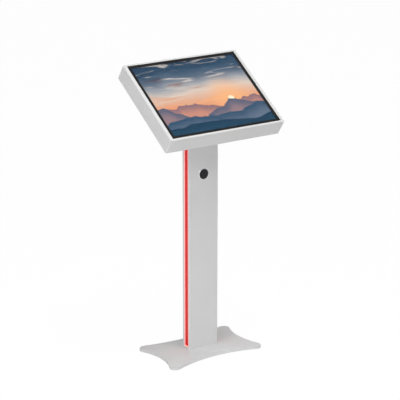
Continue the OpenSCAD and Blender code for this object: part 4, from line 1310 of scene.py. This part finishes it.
@dataclass
class Studio:
    """The white room: floor, world, lamps and camera.

    Args:
        azimuth: Angle of the camera from the front, towards -X.
        elevation: Its angle above level.
        distance: Its distance from the target.
        target: The point that it looks at.
        focal: Its focal length in mm.
        sensor: Width of its sensor in mm.
        clip_end: How far it sees.
        ambient: Strength of the world as the part sees it.
        floor_half: Half the side of the floor.
        floor_tone: Grey of the floor as the part sees it.
        floor_white: Strength of the white that the camera sees there.
        floor_shown: Share of that white in what the camera sees.
        lamps: Place, target, side and power in watts of each soft lamp: one high overhead, one near the
            head, one to the left, and one low in front.
    """

    azimuth: float = math.radians(34.208)
    elevation: float = math.radians(17.198)
    distance: float = 6.4414
    target: Triple = (-1.735 * MM, 0.0, 649.37 * MM)
    focal: float = 143.26
    sensor: float = 36.0
    clip_end: float = 100.0
    ambient: float = 0.31
    floor_half: float = 20.0
    floor_tone: float = 0.88
    floor_white: float = 1.02
    floor_shown: float = 0.95
    lamps: tuple[tuple[Triple, Triple, float, float], ...] = (
        ((0.2, -1.2, 4.4), (0.0, 0.0, 0.3), 1.4, 56.0),
        ((-1.3, -1.5, 2.4), (0.0, 0.0, 1.1), 0.8, 9.0),
        ((-3.2, -1.2, 2.8), (0.0, 0.0, 0.4), 1.0, 29.0),
        ((-2.2, -3.9, 0.6), (0.0, 0.0, 0.6), 1.4, 33.0),
    )

    def build_camera(self) -> None:
        """Sets the camera at the photograph's viewing angle."""
        level = math.cos(self.elevation)
        across, away = -math.sin(self.azimuth) * level, -math.cos(self.azimuth) * level
        back = Vector((across, away, math.sin(self.elevation)))
        data = bpy.data.cameras.new("camera")
        data.sensor_fit = "HORIZONTAL"
        data.sensor_width = self.sensor
        data.lens = self.focal
        data.clip_end = self.clip_end
        camera = linked("camera", data)
        camera.location = Vector(self.target) + self.distance * back
        camera.rotation_euler = (-back).to_track_quat("-Z", "Y").to_euler()
        bpy.context.scene.camera = camera

    def seen(self, w: Wiring) -> Socket:
        """Tells the rays that show the room itself, the camera's and those in metal and glass.

        Args:
            w: The wiring of the world or of the floor.

        Returns:
            1 for such a ray, 0 for the others.
        """
        path = w.add("LightPath").outputs
        direct = w.math("MAXIMUM", path["Is Camera Ray"], path["Is Glossy Ray"])
        return w.math("MAXIMUM", direct, path["Is Transmission Ray"])

    def build_world(self) -> None:
        """Sets the white world."""
        world = bpy.data.worlds.new("room")
        world.use_nodes = True
        bpy.context.scene.world = world
        w = Wiring(world.node_tree)
        strength = w.remap(self.seen(w), 0.0, 1.0, self.ambient, 1.0)
        w.fill(world.node_tree.nodes["Background"], {"Color": WHITE, "Strength": strength})

    def build_floor(self) -> None:
        """Lays the floor."""
        bm = bmesh.new()
        bmesh.ops.create_grid(bm, x_segments=8, y_segments=8, size=self.floor_half)
        mesh = bpy.data.meshes.new("floor")
        bm.to_mesh(mesh)
        bm.free()
        floor = linked("floor", mesh)
        material, w, shader = new_material("floor_white")
        tone = uneven_colour(w, w.place(), (self.floor_tone,) * 3, 2.0, 0.01)
        w.fill(shader, {"Base Color": tone, "Roughness": 0.9, "Specular IOR Level": 0.0})
        white = w.add("Emission", {"Color": WHITE, "Strength": self.floor_white}).outputs[0]
        shown = w.math("MULTIPLY", self.seen(w), self.floor_shown)
        blend = w.add("MixShader", {0: shown, 1: shader.outputs[0], 2: white}).outputs[0]
        w.feed(material.node_tree.nodes["Material Output"].inputs["Surface"], blend)
        mesh.materials.append(material)

    def build_lamps(self) -> None:
        """Hangs the soft lamps."""
        for i, (place, target, side, power) in enumerate(self.lamps):
            data = bpy.data.lights.new(f"soft_lamp_{i}", "AREA")
            data.energy = power
            data.shape = "SQUARE"
            data.size = side
            lamp = linked(f"soft_lamp_{i}", data)
            lamp.location = place
            lamp.rotation_euler = (Vector(target) - Vector(place)).to_track_quat("-Z", "Y").to_euler()

    def build(self) -> None:
        """Builds the whole room."""
        bpy.context.scene.view_settings.view_transform = "Standard"
        self.build_camera()
        self.build_world()
        self.build_floor()
        self.build_lamps()


@dataclass
class Assembly:
    """Pieces of the part that belong together.

    Args:
        shop: The workshop.
        plain: The pieces that need no more than dressing, in order. Each has its node, its finish and its
            rounding, and where they aren't the usual ones the faces across it and the flat angle.
    """

    shop: Workshop
    plain: Plain = ()

    def build(self) -> None:
        """Dresses the plain pieces and adds the others."""
        for piece in self.plain:
            self.shop.dress(*piece)
        self.add_others()

    def add_others(self) -> None:
        """Adds the pieces that need more, of which there are none here."""


@dataclass
class FloorBase(Assembly):
    """The four-lobed plate, the mat under it and what is bolted to it.

    The plate's crown is so shallow that only a very small angle counts as flat on it.
    """

    plain: Plain = (
        ("base_plate", Slot.POWDER_PAINT, 0.9 * MM, 3, 0.03),
        ("floor_mat", Slot.FLOOR_RUBBER, 0.2 * MM),
        ("foot_flange", Slot.ZINC_STEEL, 0.5 * MM),
        ("foot_bolts", Slot.FASTENER_STEEL, 0.25 * MM),
    )


@dataclass
class Column(Assembly):
    """The folded shell, its rear cover and the flange at its top."""

    plain: Plain = (
        ("column_shell", Slot.POWDER_PAINT, 0.35 * MM),
        ("column_rear_cover", Slot.POWDER_PAINT, 0.35 * MM),
        ("top_flange", Slot.ZINC_STEEL, 0.4 * MM),
        ("neck_bolts", Slot.FASTENER_STEEL, 0.2 * MM),
        ("neck_nuts", Slot.FASTENER_STEEL, 0.25 * MM),
        ("cable_grommet", Slot.FLOOR_RUBBER, 0.25 * MM),
    )

    def add_others(self) -> None:
        """Adds the screws of the cover."""
        self.shop.screws("column_cover_screws", M3_SCREW, REARWARD)


@dataclass
class LightStrips(Assembly):
    """The red strips, their trays, their lamp bars and their driver.

    Args:
        board_face: Distance of the lamp bars' faces from the middle of the column.
    """

    board_face: float = 64.2 * MM

    def add_others(self) -> None:
        """Dresses both strips."""
        for side in SIDES:
            self.shop.dress(f"light_tray_{side}", Slot.TRAY_WHITE, 0.3 * MM)
            self.shop.dress(f"light_lens_{side}", Slot.LENS_RED, 0.5 * MM, 3)
            bar = self.shop.dress(f"led_bar_{side}", Slot.CIRCUIT_GREEN, 0.12 * MM)
            self.shop.recolour(bar, Slot.BUTTON_GREY, lambda polygon: abs(polygon.center.x) > self.board_face)
        self.shop.dress("led_driver", Slot.DRIVER_SHELL, 0.8 * MM)


@dataclass
class Badge(Assembly):
    """The round badge: a turned rim and a domed dark disc with one fine groove.

    Args:
        sides: Points round the disc.
        crown: How far the middle of the disc stands over its edge.
        shares: Rings of the dome, as shares of the radius.
        groove: Place of the groove, as a share of the radius.
        groove_half: Half its width at its floor and at its top, as shares too.
        groove_deep: Its depth.
        rim: Where the disc's edge starts to turn down, as a share of the radius.
        rim_deep: How far it turns down.
    """

    plain: Plain = (("badge_ring", Slot.BADGE_RIM, 0.15 * MM),)
    sides: int = 96
    crown: float = 0.7 * MM
    shares: tuple[float, ...] = (0.02, 0.12, 0.25, 0.4, 0.55, 0.7)
    groove: float = 0.84
    groove_half: tuple[float, float] = (0.015, 0.03)
    groove_deep: float = 0.22 * MM
    rim: float = 0.97
    rim_deep: float = 0.12 * MM

    def crest(self, share: float) -> float:
        """Height of the dome at a share of the radius."""
        return -self.crown * share * share

    def add_others(self) -> None:
        """Makes the domed disc in place of the flat one."""
        low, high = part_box("badge_disc")
        radius, thick = (high.x - low.x) / 2, high.y - low.y
        middle = Vector(((low.x + high.x) / 2, low.y, (low.z + high.z) / 2))
        at, (half, land) = self.groove, self.groove_half
        floor = self.crest(at) - self.groove_deep
        profile = [(share, self.crest(share)) for share in (*self.shares, at - land)]
        profile += [(at - half, floor), (at + half, floor), (at + land, self.crest(at + land))]
        profile += [(self.rim, self.crest(self.rim)), (1, self.crest(1) - self.rim_deep)]
        profile += [(1, -thick), (0.5, -thick)]
        bm = ring_stack([(radius * share, height, 0.0) for share, height in profile], self.sides)
        placed(bm, Matrix.Translation(middle) @ QUARTER)
        disc = self.shop.fit(bm, "badge_disc_domed", Slot.BADGE_BLACK)
        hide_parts("badge_disc")


@dataclass
class MainsInlet(Assembly):
    """The power inlet with its contacts and rocker switch, and the lead inside the column.

    Args:
        mouth: Where the column's rear face and the inlet's middle meet.
        contacts: Place of each contact, across and up from that middle.
        contact_half: Half the width and height of a contact's sleeve.
        contact_depths: Depth of its tip and of its root.
        axle: The rocker's axle, up from the inlet's middle and into the column.
        tilt: How far the rocker rests tilted.
        mark_out: Distance of the rocker's marks from its axle, along it and out of it.
        mark_lean: How far each half of the rocker leans from its middle.
        mark_depths: How deep the marks start and end, less than 0 where they stand out of the rocker.
        line_half: Half the width and height of the line.
        ring_r: Radius of the ring.
        ring_width: Width of its stroke.
    """

    plain: Plain = (
        ("power_inlet", Slot.BLACK_PLASTIC, 0.35 * MM),
        ("inlet_switch", Slot.ROCKER_RED, 0.3 * MM, 3),
        ("mains_lead", Slot.CABLE_BLACK, 0.0),
    )
    mouth: Triple = (0, 22.5 * MM, 98 * MM)
    contacts: tuple[tuple[float, float], ...] = ((-7 * MM, -13 * MM), (7 * MM, -13 * MM), (0.0, -9 * MM))
    contact_half: tuple[float, float] = (1.12 * MM, 2.12 * MM)
    contact_depths: tuple[float, float] = (3.7 * MM, 15.9 * MM)
    axle: tuple[float, float] = (15 * MM, 3 * MM)
    tilt: float = math.radians(8)
    mark_out: tuple[float, float] = (4.6 * MM, 4.95 * MM)
    mark_lean: float = math.radians(9)
    mark_depths: tuple[float, float] = (-0.25 * MM, 0.4 * MM)
    line_half: tuple[float, float] = (0.45 * MM, 2.2 * MM)
    ring_r: float = 2.3 * MM
    ring_width: float = 0.7 * MM

    def matrix(self) -> Matrix:
        """The inlet's frame: X across, Y up, Z into the column."""
        return Matrix.Translation(self.mouth) @ QUARTER

    def build_contacts(self) -> None:
        """Makes the three plated sleeves over the contacts."""
        half_w, half_h = self.contact_half
        tip, root = self.contact_depths
        shapes = [
            block((x - half_w, y - half_h, tip), (x + half_w, y + half_h, root), 0.35 * MM, self.matrix())
            for x, y in self.contacts
        ]
        self.shop.fit(gather(shapes), "inlet_contacts", Slot.STANDOFF_BRASS)

    def build_marks(self) -> None:
        """Makes the plain line and ring of the rocker's two sides."""
        frame = self.matrix() @ Matrix.Translation((0, *self.axle)) @ Matrix.Rotation(self.tilt, 4, "X")
        along, out = self.mark_out
        upper, lower = (
            frame
            @ Matrix.Translation((0, way * along, -out))
            @ Matrix.Rotation(-way * self.mark_lean, 4, "X")
            for way in (1, -1)
        )
        low, high = self.mark_depths
        half_w, half_h = self.line_half
        line = block((-half_w, -half_h, low), (half_w, half_h, high), 0.1 * MM, upper)
        ring = bmesh.new()
        bmesh.ops.create_circle(ring, cap_ends=True, radius=self.ring_r, segments=40)
        rim = bmesh.ops.inset_region(ring, faces=ring.faces, thickness=self.ring_width)["faces"]
        bmesh.ops.delete(ring, geom=[f for f in ring.faces if f not in rim], context="FACES")
        thicken(ring, low - high)
        bmesh.ops.translate(ring, verts=ring.verts, vec=(0, 0, high))
        self.shop.fit(gather([line, placed(ring, lower)]), "rocker_marks", Slot.BUTTON_GREY, "rocker")

    def add_others(self) -> None:
        """Adds the screws, the contacts and the rocker's marks."""
        self.shop.screws("inlet_screws", M3_SCREW, REARWARD)
        self.build_contacts()
        self.build_marks()


@dataclass
class HeadShell(Assembly):
    """The sheet-steel head: housing, rear cover, and the plates and screws that hold them."""

    plain: Plain = (
        ("head_housing", Slot.POWDER_PAINT, 0.35 * MM),
        ("rear_cover", Slot.POWDER_PAINT, 0.25 * MM),
        ("hatch_ledges", Slot.POWDER_PAINT, 0.2 * MM),
        ("neck_plate", Slot.ZINC_STEEL, 0.4 * MM),
    )

    def add_others(self) -> None:
        """Adds the screws of the cover."""
        self.shop.screws("rear_cover_screws", M4_SCREW, -HEAD.outward())


@dataclass
class Screen(Assembly):
    """The cover glass with its enamelled border, and the display behind it.

    Args:
        opening: Width and height of the clear part of the glass.
        covered: How much of the glass's width and height the housing's lip covers.
        enamel_t: Thickness of the border.
        enamel_gap: Distance from the glass to it.
        enamel: Its finish.
    """

    plain: Plain = (
        ("touch_glass", Slot.SCREEN_GLASS, 0.4 * MM, 3),
        ("glass_tape", Slot.BLACK_FOAM, 0.0),
        ("panel_gasket", Slot.BLACK_FOAM, 0.0),
    )
    opening: tuple[float, float] = (485 * MM, 369 * MM)
    covered: float = 9 * MM
    enamel_t: float = 0.06 * MM
    enamel_gap: float = 0.005 * MM
    enamel: Finish = Finish(
        paint(17, 17, 19), (0.3, 0.4), grain_size=0.5 * MM, grain_depth=0.002 * MM, uneven=0.05, dust=0.02,
        shine=0.12, worn_and_highlit_share=0.0,
    )

    def build_border(self) -> None:
        """Makes the black enamelled border on the face of the glass."""
        low, high = HEAD.box(self.shop.nodes["touch_glass"])
        width, height = high.x - low.x - self.covered, high.y - low.y - self.covered
        bm = bmesh.new()
        bmesh.ops.create_grid(bm, x_segments=1, y_segments=1, size=1)
        bmesh.ops.scale(bm, verts=bm.verts, vec=(self.opening[0] / 2, self.opening[1] / 2, 1))
        outer = bmesh.ops.extrude_edge_only(bm, edges=bm.edges)["geom"]
        reach = (width / self.opening[0], height / self.opening[1], 1)
        bmesh.ops.scale(bm, verts=points_of(outer), vec=reach)
        bmesh.ops.delete(bm, geom=[f for f in bm.faces if f not in outer], context="FACES_ONLY")
        thicken(bm, self.enamel_t)
        bmesh.ops.translate(bm, verts=bm.verts, vec=(0, (low.y + high.y) / 2, high.z + self.enamel_gap))
        border = self.shop.fit(placed(bm, HEAD.matrix()), "glass_border", Slot.BADGE_BLACK)
        border.data.materials[0] = self.enamel.build("border_enamel")

    def build_display(self) -> None:
        """Dresses the display's cell, with the picture on its front."""
        cell = self.shop.dress("display_cell", Slot.BLACK_PLASTIC, 0.2 * MM)
        out = HEAD.outward()
        self.shop.recolour(cell, Slot.SCREEN_PICTURE, lambda polygon: polygon.normal.dot(out) > 0.99)
        self.shop.dress("display_chassis", Slot.ZINC_STEEL, 0.3 * MM)

    def add_others(self) -> None:
        """Adds the border and the display."""
        self.build_border()
        self.build_display()


@dataclass
class Equipment(Assembly):
    """The plate behind the display and what it carries.

    Args:
        ports: Places of the computer's ports, in steps from its middle.
        port_pitch: Distance between them.
        port_half: Half the width and height of a port's shell.
        port_deep: Depth of a port.
        port_out: How far a port stands out of the computer.
        port_wall: Wall of its shell.
        port_back: Thickness of its back.
        tongue: Lowest and highest corner of its tongue, from the middle of its mouth.
        terminal_screw: The screw of the power supply's terminals.
        terminal_length: Its length.
        terminals: Number of terminals.
        terminal_first: Place of the first, from the lowest corner of the power supply.
        terminal_pitch: Distance between them.
        board_t: Depth behind a board's front past which only its parts lie.
    """

    plain: Plain = (
        ("panel_rail_left", Slot.ZINC_STEEL, 0.3 * MM),
        ("speaker_left", Slot.BLACK_PLASTIC, 0.4 * MM),
        ("panel_rail_right", Slot.ZINC_STEEL, 0.3 * MM),
        ("speaker_right", Slot.BLACK_PLASTIC, 0.4 * MM),
        ("rail_studs", Slot.FASTENER_STEEL, 0.2 * MM),
        ("rail_nuts", Slot.FASTENER_STEEL, 0.25 * MM),
        ("equipment_plate", Slot.ZINC_STEEL, 0.25 * MM),
    )
    ports: tuple[int, ...] = (-2, -1, 0, 1, 2)
    port_pitch: float = 22 * MM
    port_half: tuple[float, float] = (6.6 * MM, 3.6 * MM)
    port_deep: float = 7.6 * MM
    port_out: float = 0.2 * MM
    port_wall: float = 0.5 * MM
    port_back: float = 0.8 * MM
    tongue: tuple[Triple, Triple] = (
        (-4.6 * MM, 1.2 * MM, -0.2 * MM), (4.6 * MM, 6.9 * MM, 1.1 * MM),
    )
    terminal_screw: Screw = Screw(3.1 * MM, 1.6 * MM, 1.6 * MM, 0.6 * MM, 20)
    terminal_length: float = 4 * MM
    terminals: int = 9
    terminal_first: Triple = (14.25 * MM, 5.5 * MM, 5.2 * MM)
    terminal_pitch: float = 10.5 * MM
    board_t: float = 1.75 * MM

    def port_shell(self, spot: Triple) -> Shape:
        """Makes the metal shell of one port.

        Args:
            spot: Where the middle of its mouth meets the computer's edge.

        Returns:
            The shape, in its place.
        """
        half_w, half_h = self.port_half
        middle = (spot[0], spot[1] + 0.5 * self.port_deep - self.port_out, spot[2])
        bm = cuboid((2 * half_w, self.port_deep, 2 * half_h), middle)
        mouth = min(bm.faces, key=lambda face: face.calc_center_median().y)
        bmesh.ops.inset_individual(bm, faces=[mouth], thickness=self.port_wall)
        pushed = bmesh.ops.extrude_face_region(bm, geom=[mouth])["geom"]
        bmesh.ops.translate(bm, verts=points_of(pushed), vec=(0, self.port_deep - self.port_back, 0))
        bmesh.ops.delete(bm, geom=[mouth], context="FACES_ONLY")
        bmesh.ops.recalc_face_normals(bm, faces=bm.faces)
        round_edges(bm, 0.15 * MM)
        return placed(bm, HEAD.matrix())

    def build_ports(self) -> None:
        """Makes the metal shells and the tongues of the computer's ports."""
        low, high = HEAD.box(self.shop.nodes["mini_computer"])
        middle, level = (low.x + high.x) / 2, (low.z + high.z) / 2
        shells, tongues = [], []
        for i in self.ports:
            spot = (middle + i * self.port_pitch, low.y, level)
            shells.append(self.port_shell(spot))
            ends = [[place + step for place, step in zip(spot, steps)] for steps in self.tongue]
            tongues.append(block(*ends, 0.2 * MM, HEAD.matrix()))
        self.shop.fit(gather(shells), "port_shells", Slot.FASTENER_STEEL)
        self.shop.fit(gather(tongues), "port_tongues", Slot.BLACK_PLASTIC)

    def build_terminals(self) -> None:
        """Makes the screws of the power supply's terminals."""
        low, _ = HEAD.box(self.shop.nodes["power_supply"])
        x, y, z = self.terminal_first
        shapes = []
        for i in range(self.terminals):
            top = HEAD.matrix() @ Vector((low.x + x + i * self.terminal_pitch, low.y + y, low.z + z))
            shapes.append(self.terminal_screw.seat(top, -HEAD.outward(), self.terminal_length))
        self.shop.fit(gather(shapes), "terminal_screws", Slot.FASTENER_STEEL)

    def build_boards(self) -> None:
        """Dresses the boards, their parts black, and their posts."""
        back = HEAD.matrix().inverted()
        for name in ("display_board", "touch_board"):
            board = self.shop.dress(name, Slot.CIRCUIT_GREEN, 0.1 * MM)
            face = HEAD.box(self.shop.nodes[name])[1].z - self.board_t
            self.shop.recolour(
                board, Slot.BLACK_PLASTIC, lambda polygon, face=face: (back @ polygon.center).z < face
            )
        self.shop.dress("board_standoffs", Slot.STANDOFF_BRASS, 0.2 * MM)

    def build_fan(self) -> None:
        """Dresses the fan."""
        self.shop.dress("fan_frame", Slot.BLACK_PLASTIC, 0.3 * MM)
        self.shop.dress("fan_rotor", Slot.FAN_GREY, 0.2 * MM)
        self.shop.screws("fan_screws", M4_SCREW, -HEAD.outward())

    def add_others(self) -> None:
        """Adds what the plate carries."""
        self.shop.screws("plate_screws", M3_SCREW, -HEAD.outward())
        self.shop.dress("mini_computer", Slot.BLACK_PLASTIC, 0.8 * MM, 3)
        self.shop.dress("computer_button", Slot.BUTTON_GREY, 0.4 * MM, 3)
        self.shop.dress("power_supply", Slot.ZINC_STEEL, 0.4 * MM)
        self.build_ports()
        self.build_terminals()
        self.build_boards()
        self.build_fan()


@dataclass
class ServiceHatch(Assembly):
    """The hatch in the rear cover, its hinges and its lock.

    Args:
        hinge_x: Distance of each hinge from the middle.
        pin_y: Place of the hinge pins up the slope.
        rivet_out: Distance of the rivets from the pin.
        rivet_along: Distance of the rivets from the middle of a hinge.
        leaf_face: Outer face of the leaves.
        rivet: Outline of a rivet: radius and height of each ring, in mm.
        rivet_sides: Points round it.
    """

    plain: Plain = (
        ("service_hatch", Slot.POWDER_PAINT, 0.3 * MM),
        ("hinge_fixed_leaves", Slot.FASTENER_STEEL, 0.2 * MM),
        ("hinge_door_leaves", Slot.FASTENER_STEEL, 0.2 * MM),
        ("hinge_pins", Slot.FASTENER_STEEL, 0.2 * MM),
        ("lock_barrel", Slot.BARREL_CHROME, 0.3 * MM),
        ("lock_nut", Slot.FASTENER_STEEL, 0.25 * MM),
        ("lock_cam", Slot.BARREL_CHROME, 0.2 * MM),
    )
    hinge_x: float = 110 * MM
    pin_y: float = 185.1 * MM
    rivet_out: float = 11.56 * MM
    rivet_along: float = 10 * MM
    leaf_face: float = -71.5 * MM
    rivet: tuple[tuple[float, float], ...] = (
        (0.3, 1.1), (1.3, 0.98), (2.1, 0.62), (2.6, 0.2), (2.7, 0.0), (1.55, 0.0), (1.55, -3.4),
        (2.1, -3.5), (1.9, -4.0), (0.8, -4.3),
    )
    rivet_sides: int = 24

    def rivets(self, name: str, side: int, body: str) -> None:
        """Makes the rivets of the leaves on one side of the pins.

        Args:
            name: Name of the piece.
            side: 1 for the fixed leaves, -1 for the door's.
            body: The body that they ride on.
        """
        rings = [(radius * MM, height * MM, 0.0) for radius, height in self.rivet]
        up = self.pin_y + side * self.rivet_out
        shapes = []
        for hinge, along in product((-1, 1), repeat=2):
            spot = Vector((hinge * self.hinge_x + along * self.rivet_along, up, self.leaf_face))
            place = facing(HEAD.matrix() @ spot, -HEAD.outward())
            shapes.append(placed(ring_stack(rings, self.rivet_sides), place))
        self.shop.fit(gather(shapes), name, Slot.FASTENER_STEEL, body)

    def add_others(self) -> None:
        """Adds the rivets."""
        self.rivets("fixed_leaf_rivets", 1, "root")
        self.rivets("door_leaf_rivets", -1, "hatch")


def main() -> None:
    """Builds the room and dresses the whole kiosk."""
    logging.basicConfig(level=logging.INFO, format="%(name)s: %(message)s")
    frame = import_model()
    Studio().build()
    shop = Workshop(frame["nodes"])
    shop.coat()
    groups = (FloorBase, Column, LightStrips, Badge, MainsInlet, HeadShell, Screen, Equipment, ServiceHatch)
    for group in groups:
        group(shop).build()


if __name__ == "__main__":
    main()
